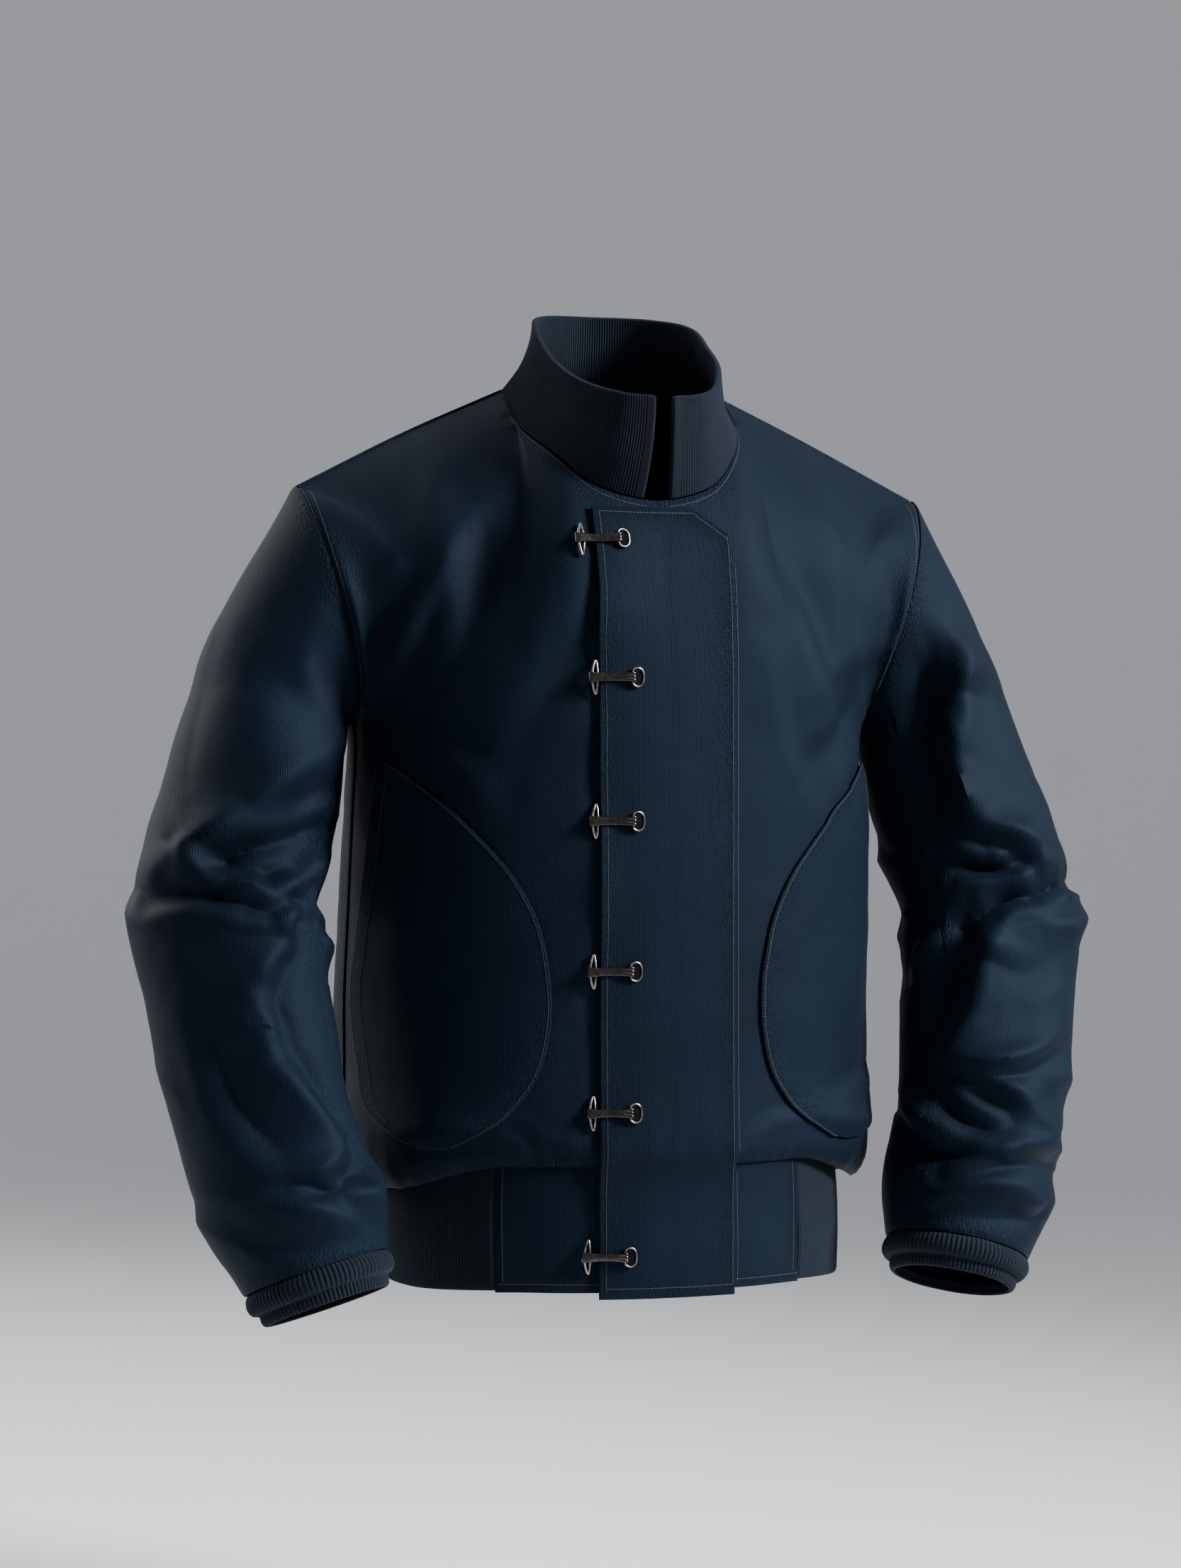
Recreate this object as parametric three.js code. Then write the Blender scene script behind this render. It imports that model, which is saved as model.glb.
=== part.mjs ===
// A hip-length deck jacket, hollow as worn, in millimetres.
// +Z is up, the fronts face -Y, and the wearer's left side is +X.
// The origin lies on the centre plane, level with the points where the shoulder seams meet the neck.
import * as THREE from "three";

// Cloth and rib thicknesses
const CLOTH_WALL = 2.0;
const FLAP_WALL = 2.6;
const POCKET_WALL = 1.6;
const RIB_WALL = 3.0;
const COLLAR_WALL = 4.0;

// Gaps: half of the 0.3 mm that parts two pieces at a seam, and what a piece laid on a panel keeps
const HALF_SEAM = 0.15;
const LAID_GAP = 0.8;
const POCKET_GAP = 1.2;

// Heights that several pieces share
const CHEST_HEIGHT = -262;
const HEM_HEIGHT = -643;
const BAND_TOP_FRONT = -551;
const BAND_TOP_SIDE = -562;
const BAND_GAP = 0.6;

// The flap that covers the front opening
const FLAP_HALF_WIDTH = 49.5;
const FLAP_TOP = -92;
const FLAP_BOTTOM = -647;
const FLAP_CHAMFER = 22;
const CHAMFER_START = 23.5;

// Where the woven front of the waistband meets its rib, in degrees round the body from the centre front
const BAND_SEAM_TURN = { right: 43, left: 38.5 };

// The collar's front edges stand this far from the centre plane, at the neck seam
const COLLAR_FRONT_GAP = 9;

// How finely each piece is cut up
const NECK_STEPS = 5;
const BACK_NECK_STEPS = 4;
const SHOULDER_STEPS = 4;
const ARMHOLE_STEPS = 10;
const CHEST_STEPS = 5;
const COLLAR_STEPS = 5;
const CAP_STEPS = 5;
const SLEEVE_STEPS = 25;
const FLAP_STEPS = 24;
const POCKET_STEPS = 9;

// Colours
const NAVY_CLOTH = { color: 0x1b2d40, roughness: 0.8, metalness: 0 };
const NAVY_RIB = { color: 0x141f2e, roughness: 0.95, metalness: 0 };
const DARK_NICKEL = { color: 0x5a5450, roughness: 0.35, metalness: 1 };

const table = (columns, rows) =>
  rows.map((row) => Object.fromEntries(columns.map((column, i) => [column, row[i]])));

// Half of the neck seam, from the centre front to the shoulder seam.
// turn: where its column of cloth starts round the chest; lean: how far that column leans back at its top.
const NECK_FRONT = table(["x", "y", "z", "turn", "lean"], [
  [0, -98, -86, 0, 25],
  [42, -91, -76, 13, 32],
  [67, -68, -52, 21, 45],
  [83, -27, -28, 27, 58],
  [83, 17, 0, 32, 68],
]);
const NECK_BACK = table(["x", "y", "z", "turn", "lean"], [
  [0, 70, 4, 180, -38],
  [44, 61, 6, 165, -45],
  [83, 17, 0, 148, -68],
]);
const SHOULDER = table(["x", "y", "z", "turn", "lean"], [
  [83, 17, 0, 32, 68],
  [158, 20, -34, 46, 66],
  [236, 15, -74, 61, 42],
]);

// The armhole seam, once round: the shoulder tip, down the front to the underarm, up the back
const ARMHOLE = table(["x", "y", "z"], [
  [236, 15, -74],
  [229, -24, -104],
  [214, -40, -156],
  [198, -20, -213],
  [191, 27, -236],
  [198, 76, -213],
  [214, 94, -156],
  [229, 66, -102],
]);

// The body from its lower lip, which bags over the waistband, up to the chest.
// frontZ and sideZ: height at the centre front and at the sides and back. square: how square the back is.
const LEVELS = table(["frontZ", "sideZ", "halfWidth", "midY", "front", "back", "square"], [
  [-555, -562, 172, 18, 145.6, 121, 2.1],
  [-551, -576, 181, 20, 148.5, 130, 2.2],
  [-544, -564, 193, 26, 155, 140, 2.4],
  [-526, -540, 197, 34, 162, 142, 2.6],
  [-490, -494, 195, 38, 164, 138, 2.8],
  [-440, -440, 195, 38, 164, 134, 2.8],
  [-380, -380, 194, 30, 156, 137, 2.6],
  [-318, -318, 193, 22, 148, 138, 2.4],
  [CHEST_HEIGHT, CHEST_HEIGHT, 190, 22, 147, 130, 2.3],
]);
const FRONT_SQUARE = 2.1;

// The waistband, from the hem up to its top edge under the body's lip
const BAND_LEVELS = table(["frontZ", "sideZ", "halfWidth", "midY", "front", "back", "square"], [
  [HEM_HEIGHT, HEM_HEIGHT - 4, 168, 14, 139, 116, 2.1],
  [-612, -616, 168.5, 15, 141, 117, 2.1],
  [-580, -586, 168.5, 17, 142, 118, 2.1],
  [BAND_TOP_FRONT, BAND_TOP_SIDE, 167, 18, 142.5, 117, 2.1],
]);

// The collar's top edge, from the centre front round to the centre back, station by station with the neck seam
const COLLAR_RIM = table(["x", "y", "z"], [
  [6.5, -117, -14],
  [32, -108, -11],
  [52, -82, -1],
  [64, -42, 20],
  [63, 5, 48],
  [43, 44, 59],
  [0, 62, 62],
]);

// The arm of a sleeve below its cap: centre, and radius across (outward) and deep (front to back)
const SLEEVE = table(["x", "y", "z", "across", "deep"], [
  [254, 20, -236, 57, 58],
  [271, 10, -300, 62, 61],
  [283, 2, -344, 64, 62],
  [290, -6, -380, 67, 63],
  [287, -18, -430, 63, 61],
  [280, -30, -475, 62, 60],
  [272, -41, -520, 60, 59],
  [262, -52, -558, 61, 58],
  [250, -61, -592, 60, 57],
  [240, -70, -627, 51, 50],
]);

// A cuff, along its own axis from the sleeve's end: its rib band swells, then a narrower band ends it
const CUFF = table(["along", "radius"], [
  [0.4, 49.5],
  [4, 52.5],
  [10, 53.5],
  [15, 51],
  [17, 46.5],
  [21, 46],
  [25, 44.5],
]);

// Folds: each is a soft ridge (positive height) or trough (negative) from one place to another.
// On the body, x and z are places seen from the front or the back.
const FRONT_FOLDS = table(["x1", "z1", "x2", "z2", "width", "height"], [
  [-100, -60, -178, -205, 22, 5],
  [-128, -72, -196, -178, 16, -4],
  [-70, -110, -150, -250, 24, 3],
  [108, -58, 180, -200, 20, 5],
  [92, -90, 165, -235, 16, -4],
  [60, -120, 140, -262, 24, 3],
  [120, -528, 185, -540, 20, 3],
  [-130, -530, -185, -540, 20, 3],
]);
const BACK_FOLDS = table(["x1", "z1", "x2", "z2", "width", "height"], [
  [-150, -110, -60, -250, 24, 5],
  [150, -120, 70, -262, 24, 5],
  [-120, -500, 110, -520, 16, 5],
  [-160, -455, 20, -470, 18, 4],
  [40, -440, 170, -462, 18, 4],
  [-95, -300, -120, -440, 30, 4],
  [100, -290, 125, -430, 30, 4],
]);

// On a sleeve, turn is in degrees round the arm: 0 outward, 90 to the front, 180 inward, 270 to the back.
const SLEEVE_FOLDS = {
  right: table(["turn1", "z1", "turn2", "z2", "width", "height"], [
    [40, -334, 165, -346, 9, 5],
    [60, -357, 150, -360, 7, -5],
    [20, -371, 100, -377, 8, 5],
    [100, -377, 160, -360, 8, 4],
    [30, -396, 130, -402, 9, -4],
    [118, -372, 84, -437, 10, 5],
    [84, -437, 120, -534, 10, 5],
    [120, -534, 60, -606, 10, 5],
    [30, -490, 78, -530, 12, -4],
    [100, -575, 160, -560, 9, 5],
    [60, -622, 150, -600, 9, -4],
    [200, -340, 290, -352, 12, 5],
    [190, -380, 280, -390, 12, -5],
    [200, -440, 300, -470, 14, 4],
    [210, -530, 300, -560, 14, 4],
    [100, -150, 150, -238, 12, -5],
  ]),
  left: table(["turn1", "z1", "turn2", "z2", "width", "height"], [
    [84, -165, 150, -236, 11, -5],
    [98, -200, 102, -300, 13, 5],
    [104, -318, 66, -345, 9, 5],
    [70, -352, 150, -358, 8, 4],
    [10, -368, 70, -373, 8, -6],
    [70, -373, 124, -393, 9, -6],
    [124, -393, 190, -420, 9, -5],
    [20, -398, 110, -420, 11, 5],
    [50, -486, 140, -500, 11, 5],
    [60, -456, 150, -446, 10, -4],
    [30, -524, 110, -516, 11, -4],
    [60, -545, 130, -538, 10, 4],
    [12, -549, 82, -579, 10, 5],
    [82, -579, 135, -598, 10, 5],
    [40, -610, 120, -618, 8, -4],
    [200, -345, 290, -350, 12, 5],
    [190, -385, 280, -395, 12, -5],
    [210, -450, 300, -480, 14, 4],
    [220, -540, 310, -570, 14, 4],
  ]),
};

// The six hook clasps, from the top: height, and how far each sits to the wearer's right of the second one
const HOOKS = table(["z", "shift"], [
  [-116, 6.5],
  [-212.5, 0],
  [-313, 0],
  [-418, 1.5],
  [-517, 2],
  [-617, 5],
]);

// The pocket patch: at each height, how far round the body its mouth edge and its curved edge lie.
// The wearer's left pocket reaches a little nearer the centre.
const LEFT_POCKET_REACH = 3.5;
const POCKET = table(["z", "mouth", "curve"], [
  [-271, 72.5, 70.5],
  [-283, 73.5, 61],
  [-300, 74.5, 50],
  [-318, 75.5, 42.5],
  [-348, 77, 33],
  [-380, 79, 27],
  [-410, 80.5, 24.5],
  [-440, 81.5, 23.5],
  [-466, 80.5, 24.2],
  [-492, 77.5, 26.5],
  [-511, 75, 30.5],
  [-524, 70.5, 34.5],
  [-534.5, 62, 41],
  [-543, 54, 47],
]);

const DEGREE = Math.PI / 180;
const point = (x, y, z) => new THREE.Vector3(x, y, z);
const mix = (a, b, t) => a + (b - a) * t;
const clamp01 = (t) => Math.min(Math.max(t, 0), 1);
const ease = (t) => clamp01(t) ** 2 * (3 - 2 * clamp01(t));
const between = (a, b, t) => a.clone().lerp(b, t);

// A smooth value through one column of a table, where at counts rows from the first.
function through(rows, column, at, closed = false) {
  const count = rows.length;
  const i = closed ? Math.floor(at) : Math.min(Math.max(Math.floor(at), 0), count - 2);
  const t = at - i;
  const value = (k) => {
    if (closed) return rows[((k % count) + count) % count][column];
    if (k < 0) return 2 * rows[0][column] - rows[1][column];
    if (k > count - 1) return 2 * rows[count - 1][column] - rows[count - 2][column];
    return rows[k][column];
  };
  const [a, b, c, d] = [value(i - 1), value(i), value(i + 1), value(i + 2)];
  return (
    0.5 * (2 * b + (c - a) * t + (2 * a - 5 * b + 4 * c - d) * t ** 2 + (3 * b - a - 3 * c + d) * t ** 3)
  );
}

const placeOn = (rows, at, closed) =>
  point(through(rows, "x", at, closed), through(rows, "y", at, closed), through(rows, "z", at, closed));

// A curve from a to b that leaves along the unit vector away and arrives along the unit vector home.
function arch(a, b, away, home, t) {
  const reach = a.distanceTo(b);
  const [t2, t3] = [t * t, t ** 3];
  return a
    .clone()
    .multiplyScalar(2 * t3 - 3 * t2 + 1)
    .addScaledVector(b, 3 * t2 - 2 * t3)
    .addScaledVector(away, reach * (t3 - 2 * t2 + t))
    .addScaledVector(home, reach * (t3 - t2));
}

// The height of all the folds of a table at one place: each fades across its width and towards its ends.
function foldHeight(folds, u, v, from, to) {
  let height = 0;
  for (const fold of folds) {
    const [u1, v1, u2, v2] = [...from(fold), ...to(fold)];
    const [du, dv] = [u2 - u1, v2 - v1];
    const t = ((u - u1) * du + (v - v1) * dv) / (du * du + dv * dv);
    const nearest = clamp01(t);
    const away = Math.hypot(u - u1 - nearest * du, v - v1 - nearest * dv) / fold.width;
    height += fold.height * Math.exp(-away * away) * (0.45 + 0.55 * Math.sin(Math.PI * nearest));
  }
  return height;
}

// A point on a level ring of the body: turn goes from 0 at the centre front to 180 at the centre back.
function ringPoint(levels, side, turn, at) {
  const value = (column) => through(levels, column, at);
  const overhang = ease((turn - 30) / 45);
  const isBack = turn > 90;
  const power = 2 / (isBack ? value("square") : FRONT_SQUARE);
  const depth = isBack ? value("back") : -value("front");
  const x = side * value("halfWidth") * Math.abs(Math.sin(turn * DEGREE)) ** power;
  const y = value("midY") + depth * Math.abs(Math.cos(turn * DEGREE)) ** power;
  return point(x, y, mix(value("frontZ"), value("sideZ"), overhang));
}

// The top end of a column of the body: its place, where it starts round the chest, and how it arrives.
function topOfColumn(side, rows, at) {
  const end = placeOn(rows, at);
  const lean = through(rows, "lean", at) * DEGREE;
  return {
    end: point(side * end.x, end.y, end.z),
    turn: through(rows, "turn", at),
    home: point(0, Math.sin(lean), Math.cos(lean)),
  };
}

// The same for a column that ends on the armhole; part goes from 0 at the shoulder tip to 1 at the underarm.
function armholeTop(side, part, isBack) {
  const end = placeOn(ARMHOLE, isBack ? 8 - 4 * part : 4 * part, true);
  const tip = SHOULDER[2];
  const turn = mix(tip.turn, 90, part ** 0.8);
  const lean = tip.lean * (1 - part) * DEGREE;
  const outward = 0.45 * Math.sin(Math.PI * Math.min(part + 0.15, 1));
  const home = point(side * outward, Math.sin(lean) * (isBack ? -1 : 1), Math.cos(lean)).normalize();
  return { end: point(side * end.x, end.y, end.z), turn: isBack ? 180 - turn : turn, home };
}

// The columns of one front, from the centre front to the side seam, or of half the back, from the centre back.
function columnsOf(side, isBack) {
  const tops = [];
  const neck = isBack ? NECK_BACK : NECK_FRONT;
  const neckSteps = isBack ? BACK_NECK_STEPS : NECK_STEPS;
  for (let i = 0; i <= neckSteps; i++) {
    tops.push(topOfColumn(side, neck, (i / neckSteps) * (neck.length - 1)));
  }
  for (let i = 1; i < SHOULDER_STEPS; i++) {
    const top = topOfColumn(side, SHOULDER, (i / SHOULDER_STEPS) * 2);
    if (isBack) {
      top.turn = 180 - top.turn;
      top.home.y *= -1;
    }
    tops.push(top);
  }
  for (let i = 0; i <= ARMHOLE_STEPS; i++) tops.push(armholeTop(side, i / ARMHOLE_STEPS, isBack));
  return tops;
}

function bodyFold(place, isBack) {
  const folds = isBack ? BACK_FOLDS : FRONT_FOLDS;
  return foldHeight(folds, place.x, place.z, (f) => [f.x1, f.z1], (f) => [f.x2, f.z2]);
}

// The rows of a body panel: levels from the lip to the chest, then up to the neck, shoulder or armhole.
function bodyGrid(side, isBack) {
  const up = point(0, 0, 1);
  return columnsOf(side, isBack).map((top) => {
    const column = LEVELS.map((_, at) => ringPoint(LEVELS, side, top.turn, at));
    const chest = column[column.length - 1];
    for (let i = 1; i <= CHEST_STEPS; i++) column.push(arch(chest, top.end, up, top.home, i / CHEST_STEPS));
    return column;
  });
}

// Vertex normals of a grid, pointing away from the inside that insideOf gives for a vertex.
function gridNormals(grid, insideOf) {
  const last = (list) => list.length - 1;
  const normals = grid.map((column, i) =>
    column.map((_, j) => {
      const across = grid[Math.min(i + 1, last(grid))][j].clone().sub(grid[Math.max(i - 1, 0)][j]);
      const along = column[Math.min(j + 1, last(column))].clone().sub(column[Math.max(j - 1, 0)]);
      return across.cross(along).normalize();
    }),
  );
  let sign = 0;
  grid.forEach((column, i) =>
    column.forEach((p, j) => (sign += normals[i][j].dot(p.clone().sub(insideOf(p, i, j))))),
  );
  if (sign < 0) normals.flat().forEach((n) => n.negate());
  return normals;
}

// A panel of cloth waiting to be given its thickness.
function panel(name, grid, insideOf, wall, finish) {
  return { name, grid, normals: gridNormals(grid, insideOf), wall, finish };
}

function rimVertices(grid) {
  const places = [];
  grid.forEach((column, i) =>
    column.forEach((_, j) => {
      const isRim = i === 0 || j === 0 || i === grid.length - 1 || j === column.length - 1;
      if (isRim) places.push([i, j]);
    }),
  );
  return places;
}

// Panels that meet at a seam share one normal there, so that their edges lie face to face.
function shareSeamNormals(panels) {
  const rims = panels.flatMap((p) => rimVertices(p.grid).map(([i, j]) => ({ p, i, j })));
  const touching = 0.05;
  for (const a of rims) {
    const here = a.p.grid[a.i][a.j];
    const sum = point(0, 0, 0);
    rims.forEach((b) => {
      if (b.p.grid[b.i][b.j].distanceTo(here) < touching) sum.add(b.p.normals[b.i][b.j]);
    });
    a.shared = sum.normalize();
  }
  for (const { p, i, j, shared } of rims) p.normals[i][j] = shared;
}

// Faces for a wall between an outer and an inner grid, closed all round, or ringed where closed is true.
function wallGeometry(outer, inner, closed = false) {
  const [columns, rows] = [outer.length, outer[0].length];
  const corners = [...outer.flat(), ...inner.flat()];
  const positions = corners.flatMap((p) => [p.x, p.y, p.z]);
  const at = (i, j, layer) => layer * columns * rows + (i % columns) * rows + j;
  const faces = [];
  const quad = (a, b, c, d) => {
    const isShorter = corners[a].distanceTo(corners[c]) <= corners[b].distanceTo(corners[d]);
    faces.push(...(isShorter ? [a, b, c, a, c, d] : [a, b, d, b, c, d]));
  };
  const spans = closed ? columns : columns - 1;
  for (let i = 0; i < spans; i++) {
    for (let j = 0; j < rows - 1; j++) {
      quad(at(i, j, 0), at(i + 1, j, 0), at(i + 1, j + 1, 0), at(i, j + 1, 0));
      quad(at(i, j, 1), at(i, j + 1, 1), at(i + 1, j + 1, 1), at(i + 1, j, 1));
    }
    quad(at(i, 0, 0), at(i, 0, 1), at(i + 1, 0, 1), at(i + 1, 0, 0));
    quad(at(i, rows - 1, 0), at(i + 1, rows - 1, 0), at(i + 1, rows - 1, 1), at(i, rows - 1, 1));
  }
  if (!closed) {
    for (let j = 0; j < rows - 1; j++) {
      quad(at(0, j, 0), at(0, j + 1, 0), at(0, j + 1, 1), at(0, j, 1));
      quad(at(columns - 1, j, 0), at(columns - 1, j, 1), at(columns - 1, j + 1, 1), at(columns - 1, j + 1, 0));
    }
  }
  return facingOut(positions, faces);
}

function facingOut(positions, faces) {
  const corner = (k) => point(positions[3 * k], positions[3 * k + 1], positions[3 * k + 2]);
  let volume = 0;
  for (let k = 0; k < faces.length; k += 3) {
    volume += corner(faces[k]).dot(corner(faces[k + 1]).cross(corner(faces[k + 2])));
  }
  const turned = volume < 0 ? faces.map((_, k) => faces[k - (k % 3) + ((3 - (k % 3)) % 3)]) : faces;
  const geometry = new THREE.BufferGeometry();
  geometry.setAttribute("position", new THREE.Float32BufferAttribute(positions, 3));
  geometry.setIndex(turned);
  return geometry;
}

// A panel's wall: trimmed by half a seam gap at each edge, with its thickness on the inside.
function panelMesh({ name, grid, normals, wall, finish, footGap = HALF_SEAM }) {
  const trim = grid.map((column, i) =>
    column.map((p, j) => {
      const moved = p.clone();
      const pull = (q, by) => moved.addScaledVector(q.clone().sub(p).normalize(), by);
      if (i === 0) pull(grid[1][j], HALF_SEAM);
      if (i === grid.length - 1) pull(grid[i - 1][j], HALF_SEAM);
      if (j === 0) pull(column[1], footGap);
      if (j === column.length - 1) pull(column[j - 1], HALF_SEAM);
      return moved;
    }),
  );
  const inner = trim.map((column, i) =>
    column.map((p, j) => p.clone().addScaledVector(normals[i][j], -wall)),
  );
  return meshOf(name, wallGeometry(trim, inner), finish);
}

function meshOf(name, geometry, finish) {
  geometry.computeVertexNormals();
  const mesh = new THREE.Mesh(geometry, new THREE.MeshStandardMaterial(finish));
  mesh.name = name;
  return mesh;
}

// Raises the folds in a body panel, fading them out towards the seams at its top and sides.
function raiseBodyFolds(body, isBack) {
  const [columns, rows] = [body.grid.length, body.grid[0].length];
  body.grid = body.grid.map((column, i) =>
    column.map((p, j) => {
      const fromSide = Math.min(i, columns - 1 - i) / 2;
      const fromEnd = Math.min(rows - 1 - j, 2 * j) / 2;
      const fade = ease(Math.min(isBack ? fromSide : Math.min(fromSide, (columns - 1 - i) / 3), fromEnd));
      return p.clone().addScaledVector(body.normals[i][j], bodyFold(p, isBack) * fade);
    }),
  );
}

const bodyAxis = (p) => point(0, 20, Math.min(p.z, -120));

function bodyPanels() {
  const fronts = [-1, 1].map((side) => {
    const name = side < 0 ? "front_right" : "front_left";
    const turns = columnsOf(side, false).map((top) => top.turn);
    return { ...panel(name, bodyGrid(side, false), bodyAxis, CLOTH_WALL, NAVY_CLOTH), turns };
  });
  const [backRight, backLeft] = [-1, 1].map((side) => bodyGrid(side, true));
  const backGrid = [...backRight.slice(1).reverse(), ...backLeft];
  const back = panel("back", backGrid, bodyAxis, CLOTH_WALL, NAVY_CLOTH);
  fronts.forEach((front) => raiseBodyFolds(front, false));
  raiseBodyFolds(back, true);
  return [...fronts, back];
}

// The arm's frame at a place along its rings: centre, direction down the arm, outward and frontward.
function armFrame(side, at) {
  const centre = placeOn(SLEEVE, at);
  const down = placeOn(SLEEVE, Math.min(at + 0.05, SLEEVE.length - 1))
    .sub(placeOn(SLEEVE, Math.max(at - 0.05, 0)))
    .normalize();
  const outward = point(1, 0, 0).addScaledVector(down, -down.x).normalize();
  const frontward = outward.clone().cross(down).normalize();
  if (frontward.y > 0) frontward.negate();
  const flip = (v) => point(side * v.x, v.y, v.z);
  return { centre: flip(centre), down: flip(down), outward: flip(outward), frontward: flip(frontward) };
}

function armPoint(side, turn, at) {
  const frame = armFrame(side, at);
  return frame.centre
    .clone()
    .addScaledVector(frame.outward, through(SLEEVE, "across", at) * Math.cos(turn * DEGREE))
    .addScaledVector(frame.frontward, through(SLEEVE, "deep", at) * Math.sin(turn * DEGREE));
}

// One column of a sleeve: from the armhole over the cap, then down the arm to the sleeve's end.
function sleeveColumn(side, turn) {
  const seam = placeOn(ARMHOLE, turn / 45, true);
  const start = point(side * seam.x, seam.y, seam.z);
  const ringTop = armPoint(side, turn, 0);
  const away = point(side * 0.45, 0, -0.89);
  const column = [];
  for (let i = 0; i < CAP_STEPS; i++) {
    column.push(arch(start, ringTop, away, armFrame(side, 0).down, i / CAP_STEPS));
  }
  for (let i = 0; i <= SLEEVE_STEPS; i++) {
    column.push(armPoint(side, turn, (i / SLEEVE_STEPS) * (SLEEVE.length - 1)));
  }
  return column;
}

const ROUND_STEP = 180 / ARMHOLE_STEPS;
const BACK_SEAM_TURN = -2 * ROUND_STEP;
const FRONT_SEAM_TURN = 8 * ROUND_STEP;
const FOLD_RADIUS = 60;

const aroundArm = [...Array(2 * ARMHOLE_STEPS)].map((_, i) => i * ROUND_STEP);

// Normals of a ringed grid, found on a copy that runs past its own ends.
function ringNormals(grid, insideOf) {
  const wrapped = [grid[grid.length - 1], ...grid, grid[0]];
  return gridNormals(wrapped, insideOf).slice(1, -1);
}

// A whole sleeve with its folds raised, cut at its front and back seams into a top and an under piece.
function sleevePanels(side) {
  const word = side < 0 ? "right" : "left";
  const inside = (p, i, j) => armInside(side, j);
  const smooth = aroundArm.map((turn) => sleeveColumn(side, turn));
  const normals = ringNormals(smooth, inside);
  const grid = smooth.map((column, i) =>
    column.map((p, j) => {
      const fade = ease(j / 4) * ease((column.length - 1 - j) / 2);
      return p.clone().addScaledVector(normals[i][j], fade * sleeveFold(word, aroundArm[i], p.z));
    }),
  );
  const foldedNormals = ringNormals(grid, inside);
  const piece = (part, first, last) => {
    const picked = [];
    for (let i = first; i <= last; i++) picked.push((i + aroundArm.length) % aroundArm.length);
    return {
      name: `sleeve_${word}_${part}`,
      grid: picked.map((i) => grid[i]),
      normals: picked.map((i) => foldedNormals[i].map((n) => n.clone())),
      wall: CLOTH_WALL,
      finish: NAVY_CLOTH,
    };
  };
  const [back, front] = [BACK_SEAM_TURN / ROUND_STEP, FRONT_SEAM_TURN / ROUND_STEP];
  return [piece("top", back, front), piece("under", front, back + aroundArm.length)];
}

// A place inside the arm, level with row j of a sleeve's grid.
function armInside(side, j) {
  const below = Math.max(j - CAP_STEPS, 0) / SLEEVE_STEPS;
  const above = Math.max(CAP_STEPS - j, 0) / CAP_STEPS;
  const centre = armFrame(side, below * (SLEEVE.length - 1)).centre;
  return centre.add(point(-side * 22 * above, 0, 70 * above));
}

function sleeveFold(word, turn, z) {
  const arc = (degrees) => degrees * DEGREE * FOLD_RADIUS;
  const heightAt = (t) =>
    foldHeight(SLEEVE_FOLDS[word], arc(t), z, (f) => [arc(f.turn1), f.z1], (f) => [arc(f.turn2), f.z2]);
  return heightAt(turn) + heightAt(turn - 360);
}

// The collar, from the wearer's right front edge round the back to the left front edge
function collarPanel() {
  const half = (side) => {
    const columns = [];
    const add = (base, rimAt) => {
      const rim = placeOn(COLLAR_RIM, rimAt);
      const column = [];
      for (let j = 0; j <= COLLAR_STEPS; j++) {
        const t = j / COLLAR_STEPS;
        const inward = 1 - (1 - t) ** 1.9;
        const p = point(mix(base.x, rim.x, inward), mix(base.y, rim.y, inward), mix(base.z, rim.z, t));
        column.push(point(side * p.x, p.y, p.z));
      }
      columns.push(column);
    };
    const start = COLLAR_FRONT_GAP / NECK_FRONT[1].x;
    for (let i = 0; i <= NECK_STEPS; i++) {
      const whole = (i / NECK_STEPS) * 4;
      const at = i === 0 ? start : whole;
      add(placeOn(NECK_FRONT, at), whole);
    }
    for (let i = 1; i <= BACK_NECK_STEPS; i++) {
      const t = i / BACK_NECK_STEPS;
      add(placeOn(NECK_BACK, 2 * (1 - t)), 4 + 2 * t);
    }
    return columns;
  };
  const [right, left] = [half(-1), half(1)];
  const grid = [...right, ...left.slice(0, -1).reverse()];
  return { ...panel("collar_rib", grid, (p) => point(0, -20, p.z), COLLAR_WALL, NAVY_RIB), footGap: LAID_GAP };
}

function bandPanels() {
  const steps = (first, last, count) => [...Array(count + 1)].map((_, i) => mix(first, last, i / count));
  const column = (side, turn) => steps(0, BAND_LEVELS.length - 1, 4).map((at) => ringPoint(BAND_LEVELS, side, turn, at));
  const inside = (p) => point(0, 16, p.z);
  const seamTurn = (side) => (side < 0 ? BAND_SEAM_TURN.right : BAND_SEAM_TURN.left);
  const woven = [-1, 1].map((side) => {
    const name = side < 0 ? "waistband_front_right" : "waistband_front_left";
    const grid = steps(0, seamTurn(side), 6).map((turn) => column(side, turn));
    return panel(name, grid, inside, CLOTH_WALL, NAVY_CLOTH);
  });
  const halves = [-1, 1].map((side) => steps(seamTurn(side), 180, 13).map((turn) => column(side, turn)));
  const ribGrid = [...halves[0], ...halves[1].slice(0, -1).reverse()];
  return [...woven, panel("waistband_rib", ribGrid, inside, RIB_WALL, NAVY_RIB)];
}

function cuffMesh(side) {
  const at = SLEEVE.length - 1;
  const { centre, down, outward, frontward } = armFrame(side, at);
  const ring = (along, radius, turn) =>
    centre
      .clone()
      .addScaledVector(down, along)
      .addScaledVector(outward, radius * Math.cos(turn * DEGREE))
      .addScaledVector(frontward, radius * Math.sin(turn * DEGREE));
  const turns = [...Array(2 * ARMHOLE_STEPS)].map((_, i) => i * ROUND_STEP);
  const outer = turns.map((turn) => CUFF.map(({ along, radius }) => ring(along, radius, turn)));
  const inner = turns.map((turn) => CUFF.map(({ along, radius }) => ring(along, radius - RIB_WALL, turn)));
  return meshOf(side < 0 ? "cuff_right" : "cuff_left", wallGeometry(outer, inner, true), NAVY_RIB);
}

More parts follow.
